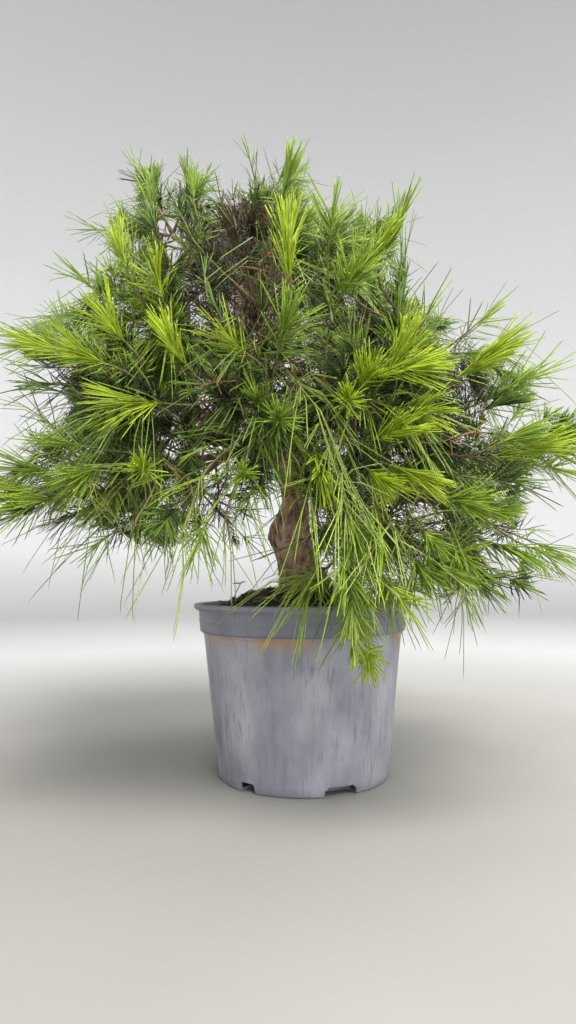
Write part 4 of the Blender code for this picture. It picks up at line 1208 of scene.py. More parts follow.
def bundle_rule(rng, form, count):
    """Leans and turns that gather a tip's needles in a few bundles."""
    bundle = rng.integers(0, BUNDLES, count)
    lean_spread, turn_spread = BUNDLE_SPREAD
    middles = rng.permutation(np.linspace(*form["tip_leans"], BUNDLES))
    leans = np.abs(middles[bundle] + rng.normal(0.0, lean_spread, count))
    turns = GOLDEN_TURN * bundle + rng.uniform(0, 360) + rng.normal(0.0, turn_spread, count)
    return leans, turns


def side_needles(rng, line, form, count, scale):
    """Needles spread along the sides of a twig, longer towards its tip."""
    bare = form["bare"]
    shares = bare + (SIDE_END - bare) * (np.arange(count) + rng.random(count)) / count
    leans = rng.uniform(*form["side_leans"], count)
    lengths = rng.uniform(*form["side"], count) * (0.70 + 0.30 * shares) * min(1.0, 0.5 + 0.5 * scale)
    return needle_rows(rng, line, shares, leans, lengths, form["droop"], FINE_NEEDLE_RADIUS)


class Foliage:
    """Needles gathered by tint until each tint is joined in pieces."""

    def __init__(self, trunk):
        self.trunk = trunk
        self.turn = 0.0
        self.rows = {(tint, form): [] for tint in TINTS for form in NEEDLE_FORMS}

    def in_wood_or_pot(self, place):
        """True where a point lies in the pot, the soil or the trunk."""
        x, y, z = place.T
        out = np.hypot(x, y)
        in_pot = (z < POT_HEIGHT + POT_GAP) & (out < POT_LIP_RADIUS + POT_GAP)
        in_soil = (out < POT_LIP_RADIUS) & (z < soil_height(x, y) + SOIL_GAP)
        middle = columns_at(z, self.trunk[:, 2], self.trunk[:, :2])
        wide = np.interp(z, self.trunk[:, 2], self.trunk[:, 3], right=0.0)
        return in_pot | in_soil | (np.hypot(x - middle[:, 0], y - middle[:, 1]) < wide)

    def kept(self, rows, slack):
        """The rows whose needles stay in the crown, off the pot and the soil, and out of the trunk."""
        tip = needle_place(rows, 1.0)
        low, high = np.array(SOLID_BOX)
        keep = (crown_level(tip) < slack) & (tip > low - PROUD).all(1) & (tip < high + PROUD).all(1)
        chance = (np.arange(len(rows)) * GOLDEN_SHARE + self.turn) % 1.0
        for share in NEEDLE_CHECKS:
            place = needle_place(rows, share)
            keep &= ~self.in_wood_or_pot(place) & (chance >= in_opening(place))
        short = (rows[:, LENGTH] < LONG_NEEDLE) & (slack < SEEN_SLACK)
        under = np.interp(tip[:, 0], UNDER_FOOT_SPAN, (UNDER_FOOT, UNDER_FOOT_RIGHT))
        return rows[keep & ~(short & (tip[:, 2] < under))]

    @staticmethod
    def reined(rows):
        """The rows with the needles that would reach past the solids' sides turned along them."""
        rows = rows.copy()
        for axis in (0, 1):
            foot, way, bend = axis, WAY.start + axis, BEND.start + axis
            low, high = SOLID_BOX[0][axis] - PROUD, SOLID_BOX[1][axis] + PROUD
            tip = needle_place(rows, 1.0)[:, axis]
            least = (low - rows[:, foot]) / rows[:, LENGTH] - rows[:, bend]
            most = (high - rows[:, foot]) / rows[:, LENGTH] - rows[:, bend]
            past = (tip < low) | (tip > high)
            new = np.clip(rows[:, way], least + REIN_MARGIN, most - REIN_MARGIN)
            new = np.clip(new, -REIN_MOST, REIN_MOST)
            growth = np.sqrt((1 - new ** 2) / np.maximum(1 - rows[:, way] ** 2, REIN_LEAST))
            for column in range(WAY.start, WAY.stop):
                turned_way = new if column == way else rows[:, column] * growth
                rows[:, column] = np.where(past, turned_way, rows[:, column])
        return rows

    def add(self, tint, rows, slack=SLACK, fine=False):
        """Takes needles of one tint in. In the dark hollows half turn deep green as painted shade and half
        brown for dead needles.
        """
        self.turn += GOLDEN_SHARE
        rows = self.kept(self.reined(rows), slack)
        dark = in_hollow(needle_place(rows, HOLLOW_CHECK))
        deep = dark & (np.arange(len(rows)) % 2 > 0)
        for chosen, new_tint in ((~dark, tint), (deep, "deep"), (dark & ~deep, "brown")):
            part = rows[chosen]
            long = (part[:, LENGTH] > LONG_NEEDLE) & (not fine)
            self.rows[new_tint, "long"].append(part[long])
            self.rows[new_tint, "fine" if fine else "short"].append(part[~long])

    def clothe(self, rng, line, kind, tip_tint, side_tint, scale=1.0, share=1.0, slack=SLACK,
               radius=NEEDLE_RADIUS):
        """Needles along a twig and round its tip. share thins the ones at the tip out."""
        form = KINDS[kind]
        droop = form["droop"]
        length = shares_along(line)[1]
        back, shares, leans, lengths = tip_rule(rng, form, length, scale, share)
        if kind == "long":
            tips = needle_rows(rng, line, shares, leans, lengths, droop, LONG_NEEDLE_RADIUS, LONG_BEND)
            self.add(tip_tint, self.paired(rng, tips), LONG_SLACK)
            return
        turns = None
        if kind in BUNDLED_KINDS:
            leans, turns = bundle_rule(rng, form, len(back))
        tips = needle_rows(rng, line, shares, leans, lengths, droop, radius, FAN_BEND, turns)
        # Painted shade: a share of the tip's needles, larger further back from the tip, take the darker
        # tint
        shaded = rng.random(len(tips)) < SHADED_SHARE * (0.3 + 1.6 * back)
        self.add(tip_tint, tips[~shaded], slack)
        self.add(SHADED_TINTS[tip_tint], tips[shaded], slack)
        count = int(length * (1.0 - form["bare"]) / form["step"])
        if count > 1:
            self.add_sides(side_needles(rng, line, form, count, scale), side_tint, slack)

    def add_sides(self, sides, tint, slack):
        """Side needles in their own tint on the outside, then darker as painted shade, then brown and
        sparse inside for dead needles.
        """
        level = crown_level(sides[:, FOOT])
        inner = level < INNER_LEVEL
        outer = level > OUTER_LEVEL
        self.add(tint, sides[outer], slack, fine=True)
        self.add("deep", sides[~outer & ~inner], slack, fine=True)
        self.add("brown", sides[inner][::2], slack, fine=True)

    @staticmethod
    def paired(rng, rows):
        """Each long needle beside its twin from the same sheath."""
        twin = rows.copy()
        twin[:, WAY] += rng.normal(0.0, TWIN_SPREAD, (len(rows), 3))
        twin[:, WAY] = units(twin[:, WAY])
        twin[:, LENGTH] *= rng.uniform(*TWIN_LENGTHS, len(rows))
        return np.vstack((rows, twin))

    def build(self, materials):
        """The joined pieces of every tint and form."""
        pieces = []
        for (tint, form), groups in self.rows.items():
            rows = np.vstack(groups) if groups else np.empty((0, RADIUS + 1))
            shares, widths = NEEDLE_FORMS[form]
            most = TRIANGLES_A_PIECE // len(needle_faces(widths)[0])
            parts = max(1, math.ceil(len(rows) / most))
            for k in range(parts):
                part = rows[k * len(rows) // parts:(k + 1) * len(rows) // parts]
                if len(part):
                    name = f"needles_{tint}_{form}_{k + 1}"
                    pieces.append(needle_piece(name, part, shares, widths, materials["needles_" + tint]))
        return pieces


def needle_faces(widths):
    """Triangles of one needle and its number of points. A ring of no width is a single point."""
    starts = []
    count = 0
    for width in widths:
        starts.append(count)
        count += 3 if width else 1
    faces = []
    for k in range(len(widths) - 1):
        a, b = starts[k], starts[k + 1]
        for n in range(3):
            m = (n + 1) % 3
            if widths[k] and widths[k + 1]:
                faces += [(a + n, a + m, b + m), (a + n, b + m, b + n)]
            elif widths[k]:
                faces.append((a + n, a + m, b))
            else:
                faces.append((a, b + m, b + n))
    return np.array(faces), count


def needle_piece(name, rows, shares, widths, material):
    """One joined mesh of three-sided needles that end in a point."""
    blocks = []
    for share, width in zip(shares, widths):
        middle = needle_place(rows, share)
        if not width:
            blocks.append(middle)
            continue
        side, over = sides_of(units(rows[:, WAY] + 2 * rows[:, BEND] * share))
        for n in range(3):
            angle = math.tau * n / 3
            out = side * math.cos(angle) + over * math.sin(angle)
            blocks.append(middle + rows[:, [RADIUS]] * width * out)
    points = np.stack(blocks, axis=1).reshape(-1, 3)
    faces, step = needle_faces(widths)
    triangles = (faces[None] + step * np.arange(len(rows))[:, None, None]).reshape(-1, 3)
    return piece_from(name, points, triangles, material)


def resampled(line, count):
    """The line with so many points evenly spread along its length."""
    return columns_at(np.linspace(0.0, 1.0, count), shares_along(line)[0], line)


def main_twig(shoot, rng):
    """The twig of one of the solids' shoots, run on past its core and lifted a little at its tip."""
    start, end = shoot["core"]
    lift = np.array((0.0, 0.0, rng.uniform(*MAIN_TWIG_LIFTS)))
    on = end + (unit(end - start) + lift) * shoot["needle"] * TWIG_ON_SHARE
    return resampled(smooth_line([*shoot["line"], start, end, on], MAIN_TWIG_STEPS), MAIN_TWIG_POINTS)


def side_twig(rng, parent, share, lean, turn, length):
    """A finer twig from a share of its parent, turning upwards as it goes."""
    foot, way = [row[0] for row in frames_at(parent, np.array([share]))[:2]]
    out = turned_away(way, lean, turn)
    knee = foot + out * length * 0.5
    rise = np.array((0.0, 0.0, rng.uniform(*SIDE_TWIG_RISES)))
    tip = knee + unit(out * SIDE_TWIG_OUT + way * SIDE_TWIG_ALONG + rise) * length * 0.5
    return resampled(smooth_line([foot, knee, tip], SIDE_TWIG_STEPS), SIDE_TWIG_POINTS)


def tint_at(rng, tip):
    """Brighter tints towards the crown's outline and its top as painted light, darker inside as painted
    shade, with some chance in it.
    """
    score = crown_level(tip)[0] + rng.uniform(-TINT_CHANCE, TINT_CHANCE)
    score += TINT_RISE * (tip[2] - CROWN_CENTRE[2])
    score -= TINT_SHADE * max(0.0, tip[2] - TINT_SHADE_HEIGHT)
    if tip[2] < TINT_UNDER_HEIGHT:
        score = min(TINT_UNDER_MOST, score + TINT_UNDER * (TINT_UNDER_HEIGHT - tip[2]))
    for limit, tint in TINT_LIMITS:
        if score > limit:
            return tint
    return "deep"


def seen_place(column, row, level):
    """Where the camera's ray through a pixel first comes so deep into the crown and its round front."""
    eye = np.array(CAMERA_PLACE)
    ray = camera_turn() @ Vector((column - PHOTO_WIDTH / 2, PHOTO_HEIGHT / 2 - row, -PHOTO_FOCUS))
    ray = unit(np.array(ray))
    low, high = np.array(SOLID_BOX)
    low, high = low + SEEN_MARGIN, high - SEEN_MARGIN
    stagger = SEEN_STAGGER * (column * GOLDEN_SHARE % 1.0)
    for far in np.arange(*SEEN_SEARCH):
        place = eye + ray * far
        front = low[1] + stagger + SEEN_ROUND * (place[0] / high[0]) ** 2
        inside = (place > low).all() and (place < high).all() and place[1] > front
        if inside and crown_level(place)[0] < level:
            return place
    raise ValueError("that pixel misses the crown")


def camera_turn():
    """The camera's rotation: level along +Y, then pitched up and rolled."""
    pitch = Matrix.Rotation(math.radians(90.0 + CAMERA_PITCH), 3, "X")
    return pitch @ Matrix.Rotation(math.radians(CAMERA_ROLL), 3, "Z")


def bearer_near(twigs, wanted):
    """The point of the main twigs nearest to a place."""
    points = np.vstack(twigs)
    return points[np.linalg.norm(points - wanted, axis=1).argmin()]


def grow_seen_shoots(foliage, young, twigs):
    """The shoots that stand out in the photograph, each on a twig that comes out of the crown."""
    places = []
    for k, (column, row, level, bearing, elevation, kind, tint, scale) in enumerate(SEEN_SHOOTS):
        rng = np.random.default_rng(SEEN_SEED + k)
        foot = seen_place(column, row, level)
        way = heading(bearing, elevation)
        inward = unit(np.array(CROWN_CENTRE) - foot)
        start = bearer_near(twigs, foot - way * BEARER_BACK + inward * BEARER_DISTANCE)
        knee = foot - way * SEEN_KNEE_BACK + inward * SEEN_KNEE_IN
        curve = smooth_line([start, knee, foot, foot + way * SEEN_TIP], MAIN_TWIG_STEPS)
        line = resampled(curve, MAIN_TWIG_POINTS)
        young.twig(line, *SEEN_TWIG, rng)
        share = SEEN_LONG_SHARE if kind in ("long", "dry") else SEEN_SHARE
        foliage.clothe(
            rng, line, kind, tint, SHADED_TINTS[tint], scale * SEEN_SCALE, share, SEEN_SLACK, SEEN_NEEDLE_RADIUS
        )
        places.append(foot)
    return np.array(places)


def photo_place(points):
    """Column and row of each point in the photograph."""
    local = (points - np.array(CAMERA_PLACE)) @ np.array(camera_turn())
    column = PHOTO_WIDTH / 2 - PHOTO_FOCUS * local[:, 0] / local[:, 2]
    row = PHOTO_HEIGHT / 2 + PHOTO_FOCUS * local[:, 1] / local[:, 2]
    return column, row


def in_oval(column, row, middle, level, half_width, half_height):
    """True for the pixels inside an oval of the photograph."""
    return ((column - middle) / half_width) ** 2 + ((row - level) / half_height) ** 2 < 1.0


def in_opening(points):
    """How few needles are wanted at each point, from 0 to 1, where the photograph shows sky or trunk."""
    column, row = photo_place(points)
    wanted = np.zeros(len(points))
    for *oval, drop, nearer in OPENINGS:
        inside = in_oval(column, row, *oval) & (points[:, 1] < nearer)
        wanted = np.maximum(wanted, np.where(inside, drop, 0.0))
    return wanted


def in_hollow(points):
    """True where a point lies in one of the photograph's dark hollows."""
    column, row = photo_place(points)
    inside = np.zeros(len(points), bool)
    for *oval, beyond in HOLLOWS:
        inside |= in_oval(column, row, *oval) & (points[:, 1] > beyond)
    level = crown_level(points)
    return inside & (level < HOLLOW_SKIN) & ((points[:, 1] < HOLLOW_END) | (level < HOLLOW_LEVEL))


def hides_seen(places, tip):
    """True where a shoot's tip would stand right in front of a shoot that the photograph shows."""
    to_eye = np.array(CAMERA_PLACE) - places
    far = np.linalg.norm(to_eye, axis=1)[:, None]
    run = np.clip(((tip - places) * to_eye / far).sum(1), 0.0, SEEN_CLEARING_RUN)[:, None]
    return bool((np.linalg.norm(places + to_eye / far * run - tip, axis=1) < SEEN_CLEARING).any())


def grow_side_shoots(foliage, young, rng, parent, count, seen):
    """Finer shoots round a main twig, each with its own needles."""
    parent_length = shares_along(parent)[1]
    first = rng.uniform(0, 360)
    for k in range(count):
        share = 0.16 + 0.78 * (k + rng.uniform(0.2, 0.8)) / count
        length = parent_length * rng.uniform(*SIDE_LENGTHS) * (1.1 - 0.45 * share)
        line = side_twig(rng, parent, share, rng.uniform(*SIDE_LEANS), first + GOLDEN_TURN * k, length)
        tip = line[-1]
        if crown_level(tip)[0] > SIDE_TWIG_LEVEL or hides_seen(seen, tip):
            continue
        if in_opening(line[-1:])[0] > 0.5 or (tip[2] < UNDER_HEIGHT and rng.random() < UNDER_SKIP):
            continue
        young.twig(line, *SIDE_TWIG, rng)
        tint = tint_at(rng, tip)
        kind = SIDE_KINDS[int(rng.integers(len(SIDE_KINDS)))]
        foliage.clothe(rng, line, kind, tint, SHADED_TINTS[tint], rng.uniform(*SIDE_SCALES))
        if rng.random() < LONG_SIDE_CHANCE:
            long_tint = LONG_TINTS[int(rng.integers(len(LONG_TINTS)))]
            foliage.clothe(rng, line, "long", long_tint, "leaf", LONG_SIDE_SCALE, LONG_SIDE_SHARE)


def grow_mass(foliage, old, young, name, shoots, twigs, seen):
    """The main twigs of a mass with their fans, finer shoots and long needles."""
    rng = np.random.default_rng(list(name.encode()))
    for k, (shoot, line) in enumerate(zip(shoots, twigs)):
        leader = k == 0
        old.twig(line, *(LEADER_TWIG if leader else LATERAL_TWIG), rng)
        tip = line[-1]
        tint = tint_at(rng, tip)
        scale = shoot["needle"] * (1.0 - TWIG_ON_SHARE) / KINDS["fan"]["tip"][1]
        if not hides_seen(seen, tip):
            foliage.clothe(rng, line, "fan", tint, SHADED_TINTS[tint], min(MOST_SCALE, scale))
        grow_side_shoots(foliage, young, rng, line, LEADER_SIDES if leader else LATERAL_SIDES, seen)
        level = int(tip[2] > LONG_BELOW) + int(tip[2] > LONG_ABOVE)
        if rng.random() < LONG_CHANCES[level]:
            long_tint = LONG_TINTS[int(rng.integers(len(LONG_TINTS)))]
            scale = rng.uniform(*LONG_SCALES)
            foliage.clothe(rng, line, "long", long_tint, "leaf", scale, LONG_SHARES[level])


def grow_inner_sprays(foliage, wood, line, rng, step, spread):
    """Short dark and dead sprays along a bare limb, inside the crown, the dark ones in painted shade."""
    count = int(shares_along(line)[1] / step)
    for k in range(count):
        share = 0.22 + 0.76 * (k + rng.uniform(0.2, 0.8)) / count
        reach = rng.uniform(*spread)
        lean = rng.uniform(*SPRAY_LEANS)
        twig = side_twig(rng, line, share, lean, GOLDEN_TURN * k + rng.uniform(-30, 30), reach)
        if crown_level(twig[-1])[0] > SPRAY_LEVEL:
            continue
        wood.twig(twig, *SPRAY_TWIG, rng)
        if rng.random() < DRY_CHANCE:
            foliage.clothe(rng, twig, "dry", "dry", "dry", 0.9)
        else:
            tint = SPRAY_TINTS[int(rng.integers(len(SPRAY_TINTS)))]
            foliage.clothe(rng, twig, "brush", tint, "deep", rng.uniform(*SPRAY_SCALES))


def grow_stray_needles(foliage, twigs):
    """Single long needles that stand out of the crown's outline."""
    rng = np.random.default_rng(77)
    for line in twigs:
        if crown_level(line[-1])[0] <= STRAY_LEVEL:
            continue
        count = int(rng.integers(*STRAY_COUNTS))
        shares = rng.uniform(*STRAY_PLACES, count)
        leans = rng.uniform(*STRAY_LEANS, count)
        lengths = rng.uniform(*STRAY_LENGTHS, count)
        rows = needle_rows(rng, line, shares, leans, lengths, STRAY_DROOP, LONG_NEEDLE_RADIUS)
        foliage.add("olive", rows, slack=STRAY_SLACK)


def stretched_noise(x, y, z, across_scale, along_scale):
    """Smooth noise that is stretched along Z where the second scale is smaller."""
    return noise.noise(Vector((x * across_scale, y * across_scale, z * along_scale)))


def bark_relief(place):
    """Long plates and cracks of bark, as a factor of the radius."""
    x, y, z = place
    plate = stretched_noise(x, y, z, 230, 80)
    crack = noise.noise(Vector((x * 560, y * 560, z * 170 + 7)))
    return 1.0 + BARK_PLATE * plate - BARK_CRACK * max(0.0, crack)


def make_trunk(material):
    """The trunk with its flare, knob and bark, down to a level foot on the soil."""
    line = smooth_line(TRUNK_LINE, TRUNK_BARK_RINGS)
    points = []
    for k, row in enumerate(line):
        centre, radius = row[:3], row[3]
        before, after = line[max(k - 1, 0)], line[min(k + 1, len(line) - 1)]
        along = unit(after[:3] - before[:3]) if k else np.array((0.0, 0.0, 1.0))
        side = unit(np.array((1.0, 0.0, 0.0)) - along * along[0])
        over = np.cross(along, side)
        for n in range(TRUNK_BARK_SIDES):
            angle = math.tau * n / TRUNK_BARK_SIDES
            way = side * math.cos(angle) + over * math.sin(angle)
            relief = bark_relief(centre + way * radius)
            points.append(centre + way * trunk_radius(radius, row[2], angle) * relief)
    triangles = tube_triangles(len(line), TRUNK_BARK_SIDES)
    finish_piece(piece_from("trunk_bark", np.array(points), triangles, material), "bark", "trunk")


def make_bough(name, whole, trunk, material):
    """A bough that swells where it leaves the trunk, with rough bark."""
    line = resampled(whole, BOUGH_BARK_RINGS)
    place = line[:, :3]
    middle = columns_at(place[:, 2], trunk[:, 2], trunk[:, :2])
    inside = np.interp(place[:, 2], trunk[:, 2], trunk[:, 3])
    out = np.hypot(*(place[:, :2] - middle).T) - inside
    first = int(np.nonzero(out > -BOUGH_SINK * inside)[0][0])
    swell = 1.0 + BOUGH_SWELL * np.exp(-np.maximum(out, 0.0) / BOUGH_SWELL_LENGTH)
    radii = (line[:, 3] * swell)[first:]
    points = tube_points(place[first:], radii, BOUGH_BARK_SIDES, bark_relief)
    triangles = tube_triangles(len(radii), BOUGH_BARK_SIDES)
    finish_piece(piece_from(name + "_bark", points, triangles, material), "bough_bark", name)


def make_foliage(trunk, boughs, masses, materials):
    """Every twig and needle, in joined pieces that stand for the masses."""
    foliage = Foliage(trunk)
    old, young = Gathered(), Gathered()
    twigs = {}
    for name, shoots in masses.items():
        rng = np.random.default_rng(list(("twig " + name).encode()))
        twigs[name] = [main_twig(shoot, rng) for shoot in shoots]
    every = [line for lines in twigs.values() for line in lines]
    seen = grow_seen_shoots(foliage, young, every)
    for name, shoots in masses.items():
        grow_mass(foliage, old, young, name, shoots, twigs[name], seen)
    for name, line in boughs.items():
        rng = np.random.default_rng(list(name.encode()))
        grow_inner_sprays(foliage, old, line[:, :3], rng, *BOUGH_SPRAYS)
    upper = trunk[trunk[:, 2] > TRUNK_SPRAY_HEIGHT][:, :3]
    grow_inner_sprays(foliage, old, upper, np.random.default_rng(5), *TRUNK_SPRAYS)
    grow_stray_needles(foliage, every)
    nodes = sorted(masses)
    for piece in foliage.build(materials):
        finish_piece(piece, "needles", *nodes)
    finish_piece(old.build("twigs", materials["twig_bark"]), "bough_bark", *nodes)
    finish_piece(young.build("young_twigs", materials["young_bark"]), "bough_bark", *nodes)


def object_from(name, bm, collection):
    """One object from a bmesh, which is freed."""
    mesh = bpy.data.meshes.new(name)
    bm.to_mesh(mesh)
    bm.free()
    made = bpy.data.objects.new(name, mesh)
    collection.objects.link(made)
    return made


def turned(name, profile, sides):
    """A closed mesh turned round Z from (radius, height) points that start and end on the axis."""
    bm = bmesh.new()
    points = [bm.verts.new((radius, 0.0, height)) for radius, height in profile]
    edges = [bm.edges.new(pair) for pair in zip(points, points[1:])]
    bmesh.ops.spin(
        bm, geom=points + edges, axis=(0, 0, 1), cent=(0, 0, 0), angle=math.tau, steps=sides, use_merge=True
    )
    bmesh.ops.remove_doubles(bm, verts=bm.verts, dist=0.00001)
    bmesh.ops.recalc_face_normals(bm, faces=bm.faces)
    return object_from(name, bm, bpy.context.scene.collection)


def pot_profile():
    """The pot's section, with rounded lip and collar and a moulded line round the collar."""
    outer = [(0.0, 0.0), (0.0635, 0.0), (0.0645, 0.0004)]
    foot, top = POT_WALL
    for k in range(POT_WALL_STEPS):
        share = k / POT_WALL_STEPS
        outer.append((foot[0] + (top[0] - foot[0]) * share, foot[1] + (top[1] - foot[1]) * share))
    outer += [
        (0.0772, 0.1074), (0.0777, 0.1080), (0.0790, 0.1085), (0.0798, 0.1091), (0.0801, 0.1100),
        (0.0803, 0.1130), (0.0805, 0.1160), (0.0809, 0.1166), (0.0810, 0.1176), (0.0806, 0.1183),
        (0.0808, 0.1200), (0.0811, 0.1225), (0.0813, 0.1245), (0.0818, 0.1253), (0.0838, 0.1256),
        (0.0850, 0.1269), (0.0851, 0.1281), (0.0848, 0.1293), (0.0840, 0.1299), (0.0826, 0.1300),
        (0.0806, 0.1298), (0.0798, 0.1290), (0.0796, 0.1270), (0.0787, 0.1110), (0.0772, 0.1060),
        (0.0756, 0.1050), (0.0700, 0.0560), (0.0640, 0.0022), (0.0, 0.0022),
    ]
    return outer


def make_cutter(collection, bearing, width, height, depth):
    """A block with rounded edges and a narrower top, across the pot's bottom edge at a bearing."""
    bm = bmesh.new()
    bmesh.ops.create_cube(bm, size=1.0)
    for corner in bm.verts:
        above = corner.co.z > 0
        corner.co.x = CUT_RADIUS - depth / 2 + CUT_OUT + corner.co.x * (depth + 4 * CUT_OUT)
        corner.co.y *= width * (CUT_TAPER if above else 1.0)
        corner.co.z = height if above else -height
    bmesh.ops.bevel(bm, geom=bm.edges, offset=width * CUT_BEVEL, segments=2, affect="EDGES")
    cutter = object_from("pot_cutter", bm, collection)
    cutter.rotation_euler = (0.0, 0.0, math.radians(bearing))


def cut_feet(pot):
    """Notches and thin slits round the pot's bottom edge."""
    cutters = bpy.data.collections.new("pot_cutters")
    bpy.context.scene.collection.children.link(cutters)
    for k in range(POT_NOTCHES):
        make_cutter(cutters, POT_NOTCH_TURN + 360.0 / POT_NOTCHES * k, POT_NOTCH_WIDTHS[k % 2], *POT_NOTCH)
    for bearing in POT_SLITS:
        make_cutter(cutters, bearing, *POT_SLIT)
    cut = pot.modifiers.new("feet", "BOOLEAN")
    cut.operation = "DIFFERENCE"
    cut.operand_type = "COLLECTION"
    cut.collection = cutters
    cut.solver = "EXACT"
    graph = bpy.context.evaluated_depsgraph_get()
    mesh = bpy.data.meshes.new_from_object(pot.evaluated_get(graph))
    pot.modifiers.clear()
    pot.data = mesh
    for cutter in list(cutters.objects):
        bpy.data.objects.remove(cutter)
    bpy.data.collections.remove(cutters)


def make_pot(material):
    """The thin plastic pot, slightly out of round, with its feet and slits."""
    pot = turned("pot_shell", pot_profile(), POT_SIDES)
    cut_feet(pot)
    for corner in pot.data.vertices:
        x, y, z = corner.co
        out = 1.0 + POT_WAVE * stretched_noise(x, y, z, 16, 9) * min(1.0, z / POT_WAVE_START)
        corner.co.x = x * out
        corner.co.y = y * out
    pot.data.materials.clear()
    pot.data.materials.append(material)
    pot.data.shade_smooth()
    pot.data.set_sharp_from_angle(angle=math.radians(POT_SHARP))
    finish_piece(pot, "pot", "pot")


def soil_surface(x, y):
    """The soil's height with its crumbs and hollows."""
    crumbs = 0.0011 * noise.noise(Vector((x * 240, y * 240, 3.0)))
    crumbs += 0.0008 * noise.noise(Vector((x * 560, y * 560, 9.0)))
    fade = min(1.0, max(0.0, (SOIL_EDGE_RADIUS - math.hypot(x, y)) / SOIL_FADE))
    return float(soil_height(x, y)) + crumbs * fade


def on_circle(radius, angle):
    return radius * math.cos(angle), radius * math.sin(angle)


def make_soil(material):
    """The soil's crumbly top and its plain sides down in the pot."""
    sides = SOIL_SIDES
    angles = [math.tau * n / sides for n in range(sides)]
    points = [(0.0, 0.0, soil_surface(0.0, 0.0))]
    for k in range(1, SOIL_RINGS + 1):
        radius = (SOIL_EDGE_RADIUS - SOIL_WALL_GAP) * k / SOIL_RINGS
        places = [on_circle(radius, angle) for angle in angles]
        points += [(x, y, soil_surface(x, y)) for x, y in places]
    for radius, height in SOIL_BODY:
        points += [(*on_circle(radius, angle), height) for angle in angles]
    points.append((0.0, 0.0, SOIL_BODY[-1][1]))
    faces = [(0, 1 + n, 1 + (n + 1) % sides) for n in range(sides)]
    loops = SOIL_RINGS + len(SOIL_BODY)
    for k in range(loops - 1):
        for n in range(sides):
            a = 1 + k * sides + n
            b = 1 + k * sides + (n + 1) % sides
            faces += [(a, a + sides, b + sides), (a, b + sides, b)]
    last = 1 + (loops - 1) * sides
    faces += [(last + n, len(points) - 1, last + (n + 1) % sides) for n in range(sides)]
    finish_piece(piece_from("soil_body", points, faces, material), "soil", "soil")


def finish_piece(piece, slot, *nodes):
    """Hides the solids' parts that a piece stands for. Every piece rides on the one body. slot is not used.
    """
    if nodes:
        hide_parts(*nodes)
    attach(piece, "root")


def scatter_lumps(name, count, sizes, flat, material, seed):
    """Crumbs, chips or grit on the soil: rough lumps of twenty faces, partly sunk in."""
    rng = np.random.default_rng(seed)
    bm = bmesh.new()
    bmesh.ops.create_icosphere(bm, subdivisions=1, radius=1.0)
    form = np.array([corner.co for corner in bm.verts])
    faces = np.array([[corner.index for corner in face.verts] for face in bm.faces])
    bm.free()
    lumps = Gathered()
    for _ in range(count):
        radius = SCATTER_RADIUS * math.sqrt(rng.random())
        x, y = on_circle(radius, rng.uniform(0, math.tau))
        size = rng.uniform(*sizes)
        shape = form * rng.uniform(0.65, 1.25, (len(form), 1)) * (1.0, rng.uniform(0.4, 0.9), flat)
        turn = Matrix.Rotation(rng.uniform(0, math.tau), 3, "Z")
        turn = turn @ Matrix.Rotation(rng.uniform(-0.6, 0.6), 3, "X")
        lumps.put(shape @ np.array(turn).T * size + (x, y, soil_surface(x, y) + size * 0.25 * flat), faces)
    finish_piece(lumps.build(name, material, smooth=False), "soil")


def make_litter(material):
    """Fallen needles and fine roots that lie on the soil."""
    rng = np.random.default_rng(31)
    litter = Gathered()
    for _ in range(LITTER_COUNT):
        radius = LITTER_RADIUS * math.sqrt(rng.random())
        angle, turn = rng.uniform(0, math.tau, 2)
        x, y = on_circle(radius, angle)
        length = rng.uniform(*LITTER_LENGTHS)
        line = []
        for share in np.linspace(-0.5, 0.5, 6):
            aside, ahead = on_circle(length * share, turn + share * rng.uniform(-0.2, 0.2))
            px, py = x + aside, y + ahead
            shrink = min(1.0, SCATTER_RADIUS / max(math.hypot(px, py), 1e-6))
            px, py = px * shrink, py * shrink
            line.append((px, py, soil_surface(px, py) + 0.0006 + 0.0018 * rng.random()))
        line = resampled(smooth_line(line, 12), 7)
        litter.tube(line, np.linspace(*LITTER_RADII, len(line)), 4)
    finish_piece(litter.build("soil_litter", material), "soil")


def make_seedlings(material):
    """Tiny weeds on the soil: a bent stalk with a few rounded leaves each."""
    weeds = Gathered()
    for x, y, height, lean, leaves, size in SEEDLINGS:
        rng = np.random.default_rng(int(1000 * height) + leaves)
        foot = np.array((x, y, soil_surface(x, y) - 0.001))
        top = foot + np.array((lean, 0.0, height))
        line = resampled(smooth_line([foot, (foot + top) / 2 - (lean * 0.3, 0.0, 0.0), top], 10), 7)
        weeds.tube(line, np.linspace(*STALK_RADII, len(line)), 5)
        for k in range(leaves):
            way = heading(360.0 * k / leaves + rng.uniform(-20, 20), rng.uniform(5, 40))
            weeds.put(*leaf_blade(top - way * 0.0003, way, size * rng.uniform(0.8, 1.2)))
    finish_piece(weeds.build("seedlings", material), "needles")


